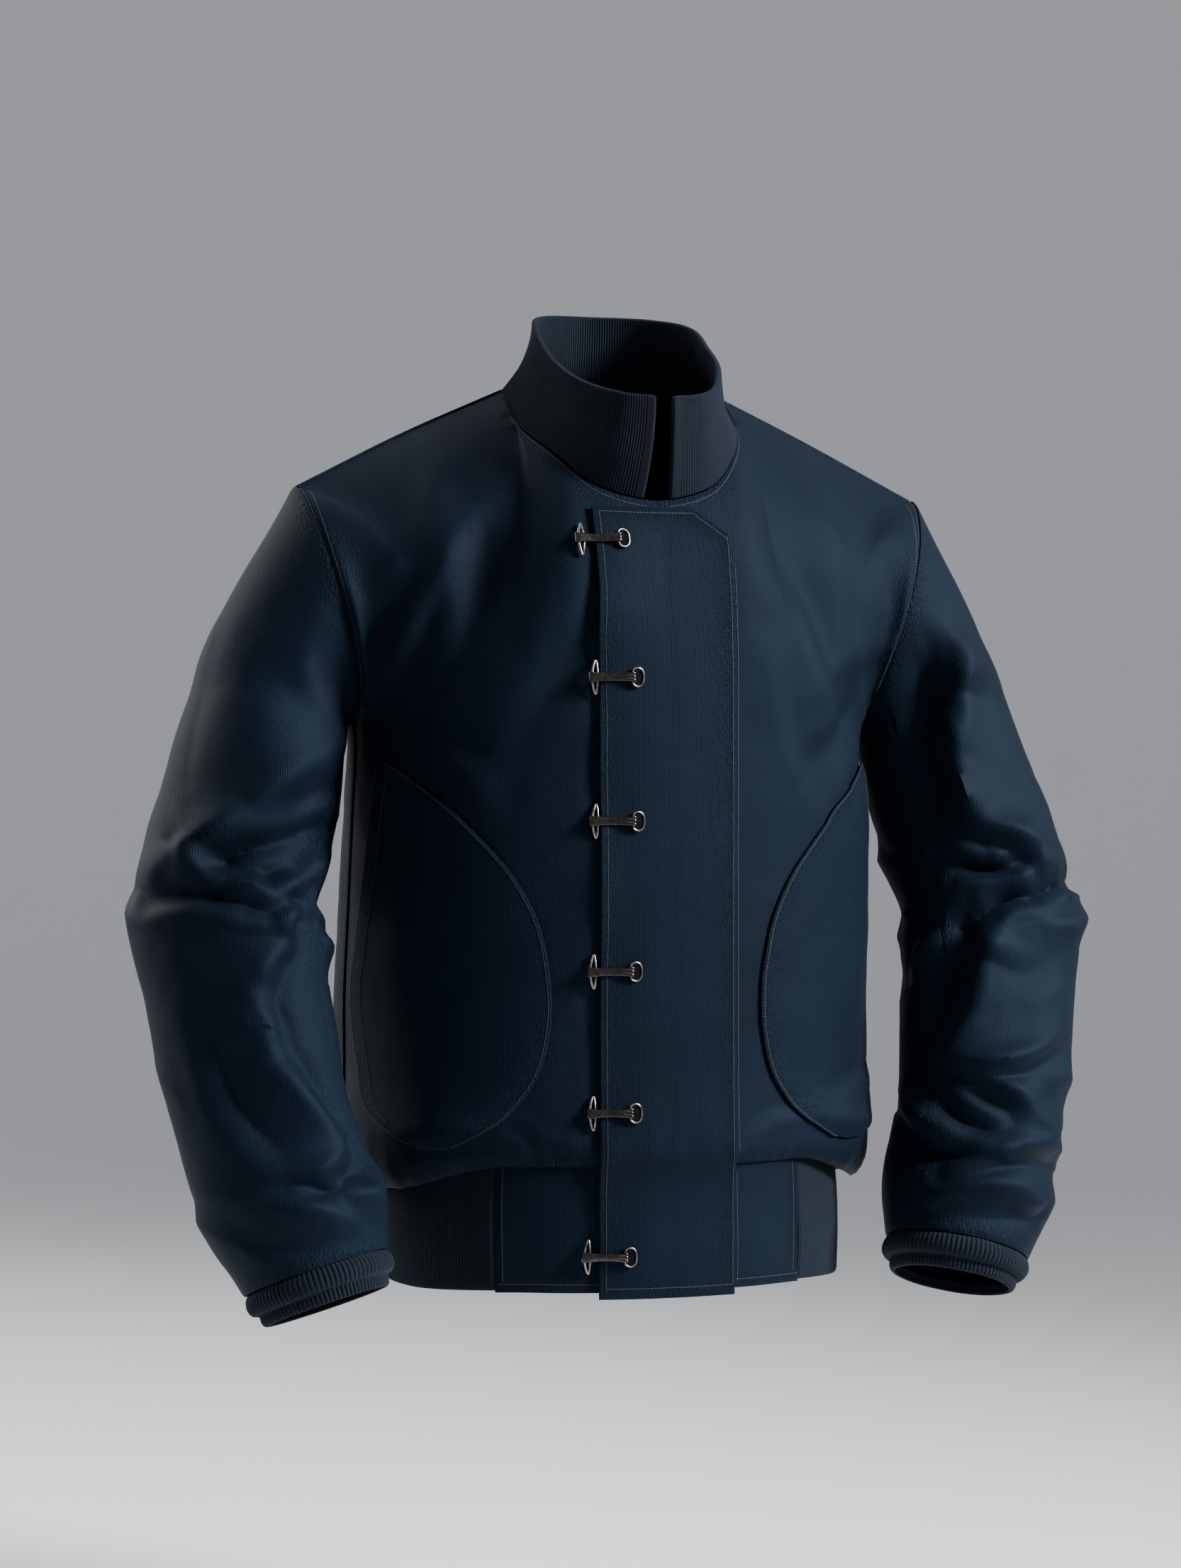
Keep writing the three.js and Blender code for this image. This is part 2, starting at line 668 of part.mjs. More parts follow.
// The point of a column of a front at height z, above its lower lip.
function onColumn(side, top, z) {
  const chest = ringPoint(LEVELS, side, top.turn, LEVELS.length - 1);
  const below = (t) => ringPoint(LEVELS, side, top.turn, mix(2, LEVELS.length - 1, t));
  const above = (t) => arch(chest, top.end, point(0, 0, 1), top.home, t);
  const place = z < CHEST_HEIGHT ? below : above;
  let [low, high] = [0, 1];
  for (let tries = 0; tries < 30; tries++) {
    const middle = (low + high) / 2;
    if (place(middle).z < z) low = middle;
    else high = middle;
  }
  return place(low);
}

// The point near the front opening that is seen at x and z: on a front, or lower down on the waistband.
function frontPlace(x, z) {
  const side = x < 0 ? -1 : 1;
  const onFront = (height) => {
    let at = Math.abs(x) / NECK_FRONT[1].x;
    let place = onColumn(side, topOfColumn(side, NECK_FRONT, at), height);
    for (let tries = 0; tries < 4 && at > 0; tries++) {
      at *= Math.abs(x / place.x);
      place = onColumn(side, topOfColumn(side, NECK_FRONT, at), height);
    }
    return place.y;
  };
  const lipBottom = -548;
  const bandStep = CLOTH_WALL + BAND_GAP;
  const onBand = () => {
    const at = ((z - HEM_HEIGHT) / (BAND_TOP_FRONT - HEM_HEIGHT)) * (BAND_LEVELS.length - 1);
    const turn = Math.asin(Math.abs(x) / 168) / DEGREE;
    return ringPoint(BAND_LEVELS, side, turn, Math.min(Math.max(at, 0), 3)).y - bandStep;
  };
  if (z > lipBottom) return point(x, onFront(z), z);
  const onLip = onFront(lipBottom);
  return point(x, mix(onLip, onBand(), ease((lipBottom - z) / 30)), z);
}

// How far the flap's free edge stands off between two hooks: most between the first and the second.
function flapLift(x, z) {
  const fromSeam = clamp01((20 - x) / 70) ** 2;
  const [first, second] = HOOKS.map((hook) => hook.z);
  const between12 = Math.sin(Math.PI * clamp01((first - z) / (first - second))) ** 2;
  const spacing = (second - HOOKS[5].z) / 4;
  const others = z < second ? Math.sin((Math.PI * (second - z)) / spacing) ** 2 : 0;
  return fromSeam * (3.5 * between12 + 1.2 * others);
}

// A point on the flap: layer 0 is its inner face and 1 its outer.
function flapPoint(x, z, layer) {
  const step = 2;
  const here = frontPlace(x, z);
  const across = frontPlace(x + step, z).sub(frontPlace(x - step, z));
  const along = frontPlace(x, z + step).sub(frontPlace(x, z - step));
  const outward = across.cross(along).normalize();
  if (outward.y > 0) outward.negate();
  return here.addScaledVector(outward, LAID_GAP + 0.3 + flapLift(x, z) + layer * FLAP_WALL);
}

function flapMesh() {
  const top = (x) => FLAP_TOP - FLAP_CHAMFER * 0.9 * clamp01((x - CHAMFER_START) / (FLAP_HALF_WIDTH - CHAMFER_START));
  const layerGrid = (layer) =>
    [-FLAP_HALF_WIDTH, -28, 0, CHAMFER_START, 36, FLAP_HALF_WIDTH].map((x) =>
      [...Array(FLAP_STEPS + 1)].map((_, j) => flapPoint(x, mix(FLAP_BOTTOM, top(x), j / FLAP_STEPS), layer)),
    );
  return meshOf("placket_flap", wallGeometry(layerGrid(1), layerGrid(0)), NAVY_CLOTH);
}

// A place on the two facets of a cell, s across and t along it: they meet on the cell's shorter diagonal.
function onFacets(a, b, c, d, s, t) {
  const place = (from, one, byOne, other, byOther) =>
    from.clone().addScaledVector(one.clone().sub(from), byOne).addScaledVector(other.clone().sub(from), byOther);
  if (a.distanceTo(c) > b.distanceTo(d)) {
    return s + t <= 1 ? place(a, b, s, d, t) : place(c, d, 1 - s, b, 1 - t);
  }
  return s > t ? place(b, a, 1 - s, c, t) : place(d, c, s, a, 1 - t);
}

// The place of a front panel's wall at a turn round the body and a height, with its outward direction.
function panelPlace(front, turn, z) {
  const { grid, normals, turns } = front;
  let i = 0;
  while (i < turns.length - 2 && turns[i + 1] < turn) i++;
  const s = (turn - turns[i]) / (turns[i + 1] - turns[i]);
  const at = (list, j) => between(list[i][j], list[i + 1][j], s);
  let j = 2;
  while (j < LEVELS.length - 2 && at(grid, j + 1).z < z) j++;
  const t = (z - at(grid, j).z) / (at(grid, j + 1).z - at(grid, j).z);
  return {
    place: onFacets(grid[i][j], grid[i + 1][j], grid[i + 1][j + 1], grid[i][j + 1], s, t),
    outward: between(at(normals, j), at(normals, j + 1), t).normalize(),
  };
}

function pocketMesh(front, name, reach) {
  const layerGrid = (lift) =>
    [...Array(POCKET_STEPS + 1)].map((_, i) =>
      POCKET.map(({ z, mouth, curve }) => {
        const { place, outward } = panelPlace(front, mix(curve - reach, mouth, i / POCKET_STEPS), z);
        return place.clone().addScaledVector(outward, lift);
      }),
    );
  return meshOf(name, wallGeometry(layerGrid(POCKET_GAP + POCKET_WALL), layerGrid(POCKET_GAP)), NAVY_CLOTH);
}

// A bent wire in one plane: a round section carried along a closed loop.
function wireLoop(loop, planeNormal, radius) {
  const sides = 5;
  const positions = [];
  const faces = [];
  loop.forEach((p, i) => {
    const along = loop[(i + 1) % loop.length].clone().sub(loop[(i + loop.length - 1) % loop.length]).normalize();
    const across = along.clone().cross(planeNormal).normalize();
    for (let k = 0; k < sides; k++) {
      const angle = (k / sides) * 2 * Math.PI;
      const q = p.clone().addScaledVector(planeNormal, radius * Math.sin(angle));
      q.addScaledVector(across, radius * Math.cos(angle));
      positions.push(q.x, q.y, q.z);
      const [a, b] = [i * sides + k, i * sides + ((k + 1) % sides)];
      const [c, d] = [a, b].map((v) => (v + sides) % (loop.length * sides));
      faces.push(a, c, b, b, c, d);
    }
  });
  return facingOut(positions, faces);
}

// Each clasp is drawn in its own frame: x across to the wearer's left, y off the flap, z down.
const EYE = { x: -16.3, lift: -1.9, halfWidth: 2, halfHeight: 11.7, bow: 2.2 };
const BAR = { x: 9.4, lift: 2.7 };
const D_RING = { halfHeight: 6.6, depth: 8, drop: 2.1 };
const WIRE_RADIUS = 0.8;
const STRAP_THICKNESS = 1.3;
const STRAP_WIDTH = 6.4;
const EYE_CURL = 2.15;
const BAR_CURL = 1.85;

function eyeGeometry() {
  const loop = [...Array(12)].map((_, i) => {
    const angle = (i / 12) * 2 * Math.PI;
    const height = Math.sin(angle);
    const x = EYE.x + EYE.halfWidth * Math.cos(angle) * (1 - 0.25 * height * height);
    return point(x - 0.8 * (1 - height * height), EYE.lift + EYE.bow * (1 - height * height), EYE.halfHeight * height);
  });
  return wireLoop(loop, point(0, 1, 0), WIRE_RADIUS);
}

function dRingGeometry() {
  const places = [[0, -0.62], [0, 0.62], [0.22, 0.92], [0.5, 1], [0.8, 0.8], [0.97, 0.42], [0.97, -0.42]];
  places.push([0.8, -0.8], [0.5, -1], [0.22, -0.92]);
  const loop = places.map(([far, high]) =>
    point(BAR.x + D_RING.depth * far, BAR.lift - D_RING.drop * far, D_RING.halfHeight * high),
  );
  const tilt = Math.atan2(D_RING.drop, D_RING.depth);
  return wireLoop(loop, point(Math.sin(tilt), Math.cos(tilt), 0), WIRE_RADIUS);
}

// The hook's strap seen from below: it curls round the eye's outer wire, runs over the flap and curls round the bar.
function hookGeometry() {
  const eyeWire = { x: EYE.x - EYE.halfWidth - 0.8, lift: EYE.lift + EYE.bow };
  const arc = (centre, radius, first, last, count) =>
    [...Array(count + 1)].map((_, i) => {
      const angle = mix(first, last, i / count) * DEGREE;
      return [centre.x + radius * Math.cos(angle), centre.lift + radius * Math.sin(angle)];
    });
  const line = [
    ...arc(eyeWire, EYE_CURL, 295, 80, 6),
    [EYE.x + 6, 1.4],
    [-4, 1.5],
    ...arc(BAR, BAR_CURL, 100, -120, 5),
  ];
  const offset = (sign) =>
    line.map(([x, y], i) => {
      const [[x0, y0], [x1, y1]] = [line[Math.max(i - 1, 0)], line[Math.min(i + 1, line.length - 1)]];
      const length = Math.hypot(x1 - x0, y1 - y0);
      const half = (sign * STRAP_THICKNESS) / 2;
      return new THREE.Vector2(x - (half * (y1 - y0)) / length, y + (half * (x1 - x0)) / length);
    });
  const shape = new THREE.Shape([...offset(1), ...offset(-1).reverse()]);
  const geometry = new THREE.ExtrudeGeometry(shape, { depth: STRAP_WIDTH, bevelEnabled: false });
  geometry.translate(0, 0, -STRAP_WIDTH / 2);
  const position = geometry.getAttribute("position");
  for (let i = 0; i < position.count; i++) {
    const narrowing = 0.82 + 0.3 * clamp01(Math.abs(position.getX(i) + 4) / 16) ** 2;
    position.setZ(i, position.getZ(i) * narrowing);
  }
  return geometry;
}

function claspGroup(number, height, shift) {
  const middle = -36 - shift;
  const origin = flapPoint(middle, height, 1);
  const across = flapPoint(middle + 6, height, 1).sub(flapPoint(middle - 6, height, 1)).normalize();
  const up = flapPoint(middle, height + 6, 1).sub(flapPoint(middle, height - 6, 1)).normalize();
  const outward = across.clone().cross(up).normalize();
  const group = new THREE.Group();
  group.quaternion.setFromRotationMatrix(
    new THREE.Matrix4().makeBasis(across, outward, across.clone().cross(outward)),
  );
  group.position.copy(origin);
  group.add(meshOf(`eye_${number}`, eyeGeometry(), DARK_NICKEL));
  group.add(meshOf(`hook_ring_${number}`, dRingGeometry(), DARK_NICKEL));
  group.add(meshOf(`hook_${number}`, hookGeometry(), DARK_NICKEL));
  return group;
}

const jacket = new THREE.Group();
const [frontRight, frontLeft, back] = bodyPanels();
const sewn = [frontRight, frontLeft, back, ...sleevePanels(-1), ...sleevePanels(1), collarPanel()];
const bands = bandPanels();
shareSeamNormals(sewn);
shareSeamNormals(bands);
for (const made of [...sewn, ...bands]) jacket.add(panelMesh(made));
[-1, 1].forEach((side) => jacket.add(cuffMesh(side)));
jacket.add(pocketMesh(frontRight, "pocket_right", 0));
jacket.add(pocketMesh(frontLeft, "pocket_left", LEFT_POCKET_REACH));
jacket.add(flapMesh());
HOOKS.forEach(({ z, shift }, i) => jacket.add(claspGroup(i + 1, z, shift)));

export default jacket;
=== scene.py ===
# %% [markdown]
# # A deck jacket, worn and hollow
# A deck jacket is cut from stiff corded cotton and finished with dense rib knit at the neck, waist and
# wrists. This lesson dresses its plain solids: each sheet of cloth starts as a flat grid, is laid on the
# same sections as its solid, and gets its creases, its thickness, its seams and its finish.
# The row frame is kept all through: metres, +Z up, the fronts face -Y, the wearer's left is +X.

# %% The solids and their box
import bpy
import math
import numpy as np
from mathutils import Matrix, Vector, noise
from mathutils.bvhtree import BVHTree


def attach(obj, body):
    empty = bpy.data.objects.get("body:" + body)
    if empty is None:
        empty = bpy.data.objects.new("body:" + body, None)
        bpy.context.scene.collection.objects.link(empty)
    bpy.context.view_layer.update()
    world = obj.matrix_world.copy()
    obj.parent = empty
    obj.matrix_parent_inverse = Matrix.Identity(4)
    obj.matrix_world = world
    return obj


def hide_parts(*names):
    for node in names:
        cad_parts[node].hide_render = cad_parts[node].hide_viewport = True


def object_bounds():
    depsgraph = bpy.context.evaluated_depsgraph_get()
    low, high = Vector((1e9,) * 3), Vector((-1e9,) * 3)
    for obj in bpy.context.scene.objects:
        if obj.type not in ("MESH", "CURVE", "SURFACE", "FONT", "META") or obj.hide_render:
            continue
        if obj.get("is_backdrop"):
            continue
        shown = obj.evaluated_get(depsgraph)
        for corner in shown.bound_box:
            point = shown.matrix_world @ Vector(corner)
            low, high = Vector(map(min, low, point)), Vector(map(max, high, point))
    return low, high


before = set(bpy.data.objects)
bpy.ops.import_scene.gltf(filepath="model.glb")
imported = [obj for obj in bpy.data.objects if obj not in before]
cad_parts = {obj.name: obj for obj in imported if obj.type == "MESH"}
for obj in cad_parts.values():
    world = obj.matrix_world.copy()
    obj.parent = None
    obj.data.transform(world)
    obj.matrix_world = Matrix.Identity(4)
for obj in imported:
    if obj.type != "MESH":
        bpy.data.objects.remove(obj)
bpy.ops.object.select_all(action="DESELECT")
cad_low, cad_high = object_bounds()
MM = 0.001
print("solids:", len(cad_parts), "box in mm:", [round(v / MM) for v in (*cad_low, *cad_high)])

# %% [markdown]
# ## The cut in numbers
# A garment's form comes from a few seams and rings. The neck seam, the shoulder seam and the armhole are
# curves in space; the body, the waistband and the arms are stacks of rings. The tables below hold them in
# millimetres, one row for each place, and a smooth curve is led through each column. Typing points one by
# one would be slower to change.

# %% Tables of the neck, shoulder and armhole seams
def table(columns, rows):
    return dict(zip(columns.split(), np.array(rows, float).T))


NECK_FRONT = table("x y z turn lean", [
    (0, -98, -86, 0, 25), (42, -91, -76, 13, 32), (67, -68, -52, 21, 45), (83, -27, -28, 27, 58),
    (83, 17, 0, 32, 68)])
NECK_BACK = table("x y z turn lean", [(0, 70, 4, 180, -38), (44, 61, 6, 165, -45), (83, 17, 0, 148, -68)])
SHOULDER = table("x y z turn lean", [(83, 17, 0, 32, 68), (158, 20, -34, 46, 70), (236, 15, -74, 61, 72)])
ARMHOLE = table("x y z", [
    (236, 15, -74), (229, -24, -104), (214, -40, -156), (198, -20, -213),
    (191, 27, -236), (198, 76, -213), (214, 94, -156), (229, 66, -102)])

# %% Tables of the rings of the body, waistband, collar and arm
RINGS = "frontZ sideZ halfWidth midY front back square"
BODY = table(RINGS, [
    (-555, -562, 172, 18, 145.6, 121, 2.1), (-551, -576, 181, 20, 148.5, 130, 2.2),
    (-544, -564, 193, 26, 155, 140, 2.4), (-526, -540, 197, 34, 162, 142, 2.6),
    (-490, -494, 195, 38, 164, 138, 2.8), (-440, -440, 195, 38, 164, 134, 2.8),
    (-380, -380, 194, 30, 156, 137, 2.6), (-318, -318, 193, 22, 148, 138, 2.4),
    (-262, -262, 190, 22, 147, 130, 2.3)])
BAND = table(RINGS, [
    (-643, -647, 168, 14, 139, 116, 2.1), (-612, -616, 168.5, 15, 141, 117, 2.1),
    (-580, -586, 168.5, 17, 142, 118, 2.1), (-551, -562, 167, 18, 142.5, 117, 2.1)])
COLLAR_RIM = table("x y z", [
    (6.5, -117, -14), (32, -108, -11), (52, -82, -1), (64, -42, 20), (63, 5, 48), (43, 44, 59), (0, 62, 62)])
ARM = table("x y z across deep", [
    (254, 20, -236, 57, 58), (271, 10, -300, 62, 61), (283, 2, -344, 64, 62), (290, -6, -380, 67, 63),
    (287, -18, -430, 63, 61), (280, -30, -475, 62, 60), (272, -41, -520, 60, 59), (262, -52, -558, 61, 58),
    (250, -61, -592, 60, 57), (240, -70, -627, 51, 50)])
CUFF = table("along radius", [(0.4, 49.5), (4, 52.5), (10, 53.5), (15, 51), (17, 46.5), (21, 46), (25, 44.5)])
FRONT_SQUARE = 2.1
NECK_STEPS, BACK_NECK_STEPS, SHOULDER_STEPS, ARMHOLE_STEPS, CHEST_STEPS, CAP_STEPS = 5, 4, 4, 10, 5, 5


# %% Smooth curves through the tables
def through(rows, name, at, closed=False):
    """A smooth value through one column of a table, where at counts rows from the first.
    A curve that ends on the centre plane goes on as its own mirror image, so that it has no point there."""
    values, at = rows[name], np.asarray(at, float)
    count = len(values)
    first = np.floor(at).astype(int)
    if closed:
        a, b, c, d = (values[(first + k) % count] for k in (-1, 0, 1, 2))
    else:
        first = np.clip(first, 0, count - 2)
        mirrored = [name in ("y", "z", "lean") and rows["x"][k] == 0 for k in (0, -1)]
        ends = np.concatenate([[values[1] if mirrored[0] else 2 * values[0] - values[1]], values,
                               [values[-2] if mirrored[1] else 2 * values[-1] - values[-2]]])
        a, b, c, d = (ends[first + 1 + k] for k in (-1, 0, 1, 2))
    t = at - first
    return 0.5 * (2 * b + (c - a) * t + (2 * a - 5 * b + 4 * c - d) * t**2 + (3 * b - a - 3 * c + d) * t**3)


def place_on(rows, at, closed=False):
    return np.stack([through(rows, name, at, closed) for name in "xyz"], -1)


def arch(a, b, away, home, t):
    """A curve from a to b that leaves along the direction away and arrives along the direction home."""
    t, reach = t[..., None], np.linalg.norm(b - a, axis=-1, keepdims=True)
    ends = a * (2 * t**3 - 3 * t**2 + 1) + b * (3 * t**2 - 2 * t**3)
    return ends + reach * (away * (t**3 - 2 * t**2 + t) + home * (t**3 - t**2))


def ease(t):
    t = np.clip(t, 0, 1)
    return t * t * (3 - 2 * t)


def unit(v):
    return v / np.maximum(np.linalg.norm(v, axis=-1, keepdims=True), 1e-9)


def ring_point(rings, side, turn, at):
    """A point on a ring round the body: turn is 0 at the centre front and 180 at the centre back."""
    turn, at = np.broadcast_arrays(np.asarray(turn, float), np.asarray(at, float))
    is_back, angle = turn > 90, np.radians(turn)
    power = 2 / np.where(is_back, through(rings, "square", at), FRONT_SQUARE)
    depth = np.where(is_back, through(rings, "back", at), -through(rings, "front", at))
    x = side * through(rings, "halfWidth", at) * np.abs(np.sin(angle)) ** power
    y = through(rings, "midY", at) + depth * np.abs(np.cos(angle)) ** power
    low = ease((turn - 30) / 45)
    z = through(rings, "frontZ", at) * (1 - low) + through(rings, "sideZ", at) * low
    return np.stack([x, y, z], -1)


TIP_TURN, UNDERARM_TURN, TIP_LEAN, TIP_REACH = 61, 90, 72, 0.9


def column_tops(side, is_back, c):
    """Where each column of body cloth ends, its start round the chest and its direction there.
    c counts the solid's columns, from the centre line over the neck and shoulder to the underarm."""
    neck, neck_steps = (NECK_BACK, BACK_NECK_STEPS) if is_back else (NECK_FRONT, NECK_STEPS)
    on_neck, on_shoulder = c <= neck_steps, c <= neck_steps + SHOULDER_STEPS
    n = np.clip(c / neck_steps, 0, 1) * (len(neck["x"]) - 1)
    s = np.clip((c - neck_steps) / SHOULDER_STEPS, 0, 1) * 2
    past_tip = c - neck_steps - SHOULDER_STEPS
    part = np.clip(past_tip / ARMHOLE_STEPS, 0, 1)
    arm_turn, shoulder_turn = TIP_TURN + (UNDERARM_TURN - TIP_TURN) * part**0.8, through(SHOULDER, "turn", s)
    arm_lean, shoulder_lean, armhole_at = TIP_LEAN * (1 - part), through(SHOULDER, "lean", s), 4 * part
    if is_back:
        arm_turn, shoulder_turn = 180 - arm_turn, 180 - shoulder_turn
        arm_lean, shoulder_lean, armhole_at = -arm_lean, -shoulder_lean, 8 - armhole_at
    turn = np.select([on_neck, on_shoulder], [through(neck, "turn", n), shoulder_turn], arm_turn)
    lean = np.radians(np.select([on_neck, on_shoulder], [through(neck, "lean", n), shoulder_lean], arm_lean))
    past_neck = np.where(on_shoulder[:, None], place_on(SHOULDER, s), place_on(ARMHOLE, armhole_at, True))
    end = np.where(on_neck[:, None], place_on(neck, n), past_neck)
    late = ease(part / 0.45)
    towards_arm = TIP_REACH * (1 - late) + 0.45 * np.sin(np.pi * part) * late
    outward = np.where(on_shoulder, TIP_REACH * ease((s / 2 - 0.3) / 0.7), towards_arm)
    home = unit(np.stack([side * outward, np.sin(lean), np.cos(lean)], -1))
    fuller = 1 + np.exp(-(past_tip / 1.5) ** 2)
    if is_back:
        fuller += 0.5 * np.exp(-((past_tip - 3) / 1.8) ** 2)
    return end * np.array([side, 1, 1]), turn, home * fuller[:, None]


print("body rings:", len(BODY["square"]), "arm rings:", len(ARM["x"]))

# %% [markdown]
# ## Creases
# Stiff cotton keeps soft ridges and troughs where the arm bends and where the chest pulls. Each is listed
# in a table: where it starts and ends, how wide it is and how far it rises or sinks in millimetres. It is
# steeper on one flank than on the other, as cloth is, and it fades towards both ends.

# %% Creases of the fronts and back, seen from the front: x and z in millimetres
BODY_CREASE = "u1 v1 u2 v2 width height"
FRONT_CREASES = table(BODY_CREASE, [
    (-100, -60, -178, -205, 22, 5), (-128, -72, -196, -178, 16, -4), (-70, -110, -150, -250, 24, 3),
    (108, -62, 176, -204, 24, 4), (92, -110, 150, -240, 19, -2.6), (60, -120, 140, -262, 24, 3),
    (120, -528, 185, -540, 20, 3), (-130, -530, -185, -540, 20, 3),
    (-150, -120, -192, -232, 9, 2.2), (-112, -120, -176, -258, 10, -1.8), (-60, -150, -128, -300, 14, 1.6),
    (-170, -262, -120, -300, 12, 1.8), (-186, -250, -150, -292, 9, -1.8), (150, -140, 184, -236, 12, 1.6),
    (118, -150, 176, -262, 10, -1.8), (75, -190, 140, -330, 14, 1.4), (186, -256, 140, -300, 10, 1.6),
    (150, -512, 192, -505, 9, 2.4), (165, -540, 118, -532, 8, -1.6), (-96, -540, -160, -534, 9, 1.6),
    (-60, -548, -110, -528, 8, -1.4), (64, -540, 104, -524, 8, 1.4), (-56, -300, -62, -420, 9, 1.2),
    (-58, -430, -54, -520, 9, -1.2), (-54, -215, -58, -290, 8, -1.2), (186, -204, 118, -268, 13, -3.4),
    (190, -178, 128, -222, 15, 3.2), (-138, -92, -156, -158, 15, 3.6), (-112, -96, -134, -176, 13, -3)])
BACK_CREASES = table(BODY_CREASE, [
    (-150, -110, -60, -250, 24, 5), (150, -120, 70, -262, 24, 5), (-120, -500, 110, -520, 16, 5),
    (-160, -455, 20, -470, 18, 4), (40, -440, 170, -462, 18, 4), (-95, -300, -120, -440, 30, 4),
    (100, -290, 125, -430, 30, 4), (-170, -200, -110, -300, 12, -2.4), (172, -196, 104, -312, 12, -2.6),
    (-60, -528, 40, -540, 9, -2.4), (60, -520, 160, -532, 9, 2.2), (-170, -522, -90, -534, 9, 2),
    (-20, -486, 90, -494, 10, -2), (-130, -420, -70, -486, 12, 1.8), (80, -470, 150, -430, 11, -1.8),
    (-84, -140, 30, -128, 18, -1.6), (10, -60, 60, -120, 14, 1.4), (-30, -64, -72, -126, 14, 1.4)])

# %% Creases of the sleeves: degrees round the arm (0 outward, 90 front, 180 inward) and height
SLEEVE_CREASE = "u1 v1 u2 v2 width height"
SLEEVE_CREASES = {
    -1: table(SLEEVE_CREASE, [
        (135, -262, 83, -307, 20, 9), (83, -307, 46, -338, 14, 9), (148, -315, 111, -326, 11, -9),
        (111, -326, 64, -343, 9, -8), (48, -336, 79, -357, 10, 9), (79, -357, 106, -367, 10, 10),
        (106, -367, 124, -354, 9, 9), (124, -354, 148, -342, 9, 6), (24, -369, 104, -378, 10, -9),
        (104, -378, 130, -366, 7, -7), (118, -364, 112, -396, 12, 9), (112, -396, 87, -441, 12, 9),
        (87, -441, 90, -468, 11, 8), (90, -468, 119, -538, 12, 10), (119, -538, 84, -557, 10, 8),
        (58, -458, 86, -545, 17, -5), (150, -368, 180, -384, 9, -7), (146, -396, 170, -412, 10, 6),
        (60, -576, 112, -590, 11, 7), (104, -570, 160, -560, 11, 6), (46, -604, 142, -612, 9, -5),
        (70, -150, 104, -178, 15, 4), (100, -150, 150, -238, 16, -7), (200, -340, 290, -352, 14.4, 8),
        (190, -380, 280, -390, 14.4, -8), (200, -440, 300, -470, 16.8, 6.4),
        (210, -530, 300, -560, 16.8, 6.4), (60, -228, 116, -244, 18, 2), (20, -210, 48, -310, 20, -2.4),
        (100, -560, 150, -575, 8, 2), (36, -398, 72, -424, 14, 2), (230, -360, 300, -368, 9.2, -2.2),
        (220, -410, 290, -424, 10.3, 2.3), (-40, -370, 24, -388, 11.5, 3), (-30, -590, 40, -606, 10.3, 2.4),
        (-20, -480, 30, -520, 16, 2)]),
    1: table(SLEEVE_CREASE, [
        (72, -165, 90, -219, 14, 9), (90, -219, 105, -271, 16, 9), (105, -271, 102, -316, 13, 10),
        (104, -180, 128, -260, 16, -8), (128, -260, 134, -326, 16, -7), (102, -316, 66, -345, 10, 10),
        (66, -346, 122, -360, 8, 7), (135, -340, 80, -349, 8, -8), (8, -364, 80, -371, 7, -10),
        (80, -371, 112, -382, 8, -10), (112, -382, 140, -394, 10, -8), (8, -380, 80, -388, 12, 7),
        (104, -396, 114, -417, 12, 9), (114, -417, 134, -485, 16, 9), (130, -404, 152, -470, 15, -8),
        (152, -402, 170, -432, 10, 7), (138, -488, 62, -474, 10, 9), (122, -500, 72, -531, 10, 9),
        (142, -512, 92, -541, 9, -8), (174, -521, 107, -541, 11, 8), (170, -540, 100, -557, 8, -7),
        (120, -562, 46, -546, 10, 8), (60, -566, 16, -572, 9, -6), (130, -584, 50, -590, 10, 7),
        (140, -602, 40, -606, 9, -6), (60, -505, 20, -512, 12, 4), (200, -345, 290, -350, 14.4, 8),
        (190, -385, 280, -395, 14.4, -8), (210, -450, 300, -480, 16.8, 6.4),
        (220, -540, 310, -570, 16.8, 6.4), (40, -300, 74, -322, 16, 2.4), (44, -424, 90, -450, 18, 2),
        (230, -364, 300, -372, 9.2, -2.2), (214, -416, 290, -430, 10.3, 2.3),
        (-36, -378, 6, -384, 10.3, -3), (-30, -600, 44, -590, 10.3, 2.4)])}


# %% Heights of the creases at many places at once
BOW, STEEPNESS, CREST_POWER, END_SHARE = 0.12, 0.35, 1.25, 0.35
HOLLOW_SHARE, HOLLOW_AT, HOLLOW_WIDTH = 0.38, 1.5, 0.6


def crease_height(creases, u, v):
    """Ridges and troughs, each with a smaller hollow or swelling along its steeper side."""
    total = np.zeros(np.broadcast(u, v).shape)
    for u1, v1, u2, v2, width, height in np.stack(list(creases.values()), -1):
        du, dv = u2 - u1, v2 - v1
        t = np.clip(((u - u1) * du + (v - v1) * dv) / (du * du + dv * dv), 0, 1)
        bow = BOW * math.sin(u1 + v1) * np.sin(np.pi * t)
        gap_u, gap_v = u - u1 - t * du + bow * dv, v - v1 - t * dv - bow * du
        side = np.sign((gap_u * dv - gap_v * du) * height)
        away = np.hypot(gap_u, gap_v) / (width * (1 + STEEPNESS * side))
        along = (END_SHARE + (1 - END_SHARE) * np.sin(np.pi * t)) * np.exp(-np.clip(away - 2, 0, None))
        beside = np.hypot(gap_u, gap_v) / width * side
        hollow = HOLLOW_SHARE * np.exp(-((beside + HOLLOW_AT) / HOLLOW_WIDTH) ** 2)
        total += height * along * (np.exp(-away**CREST_POWER) - hollow)
    return total


def drift(points, size, seed=0.0):
    """Slow unevenness from -1 to 1, the same on every run."""
    flat = points.reshape(-1, 3) / size + seed
    return np.array([noise.noise(p) for p in flat]).reshape(points.shape[:-1])


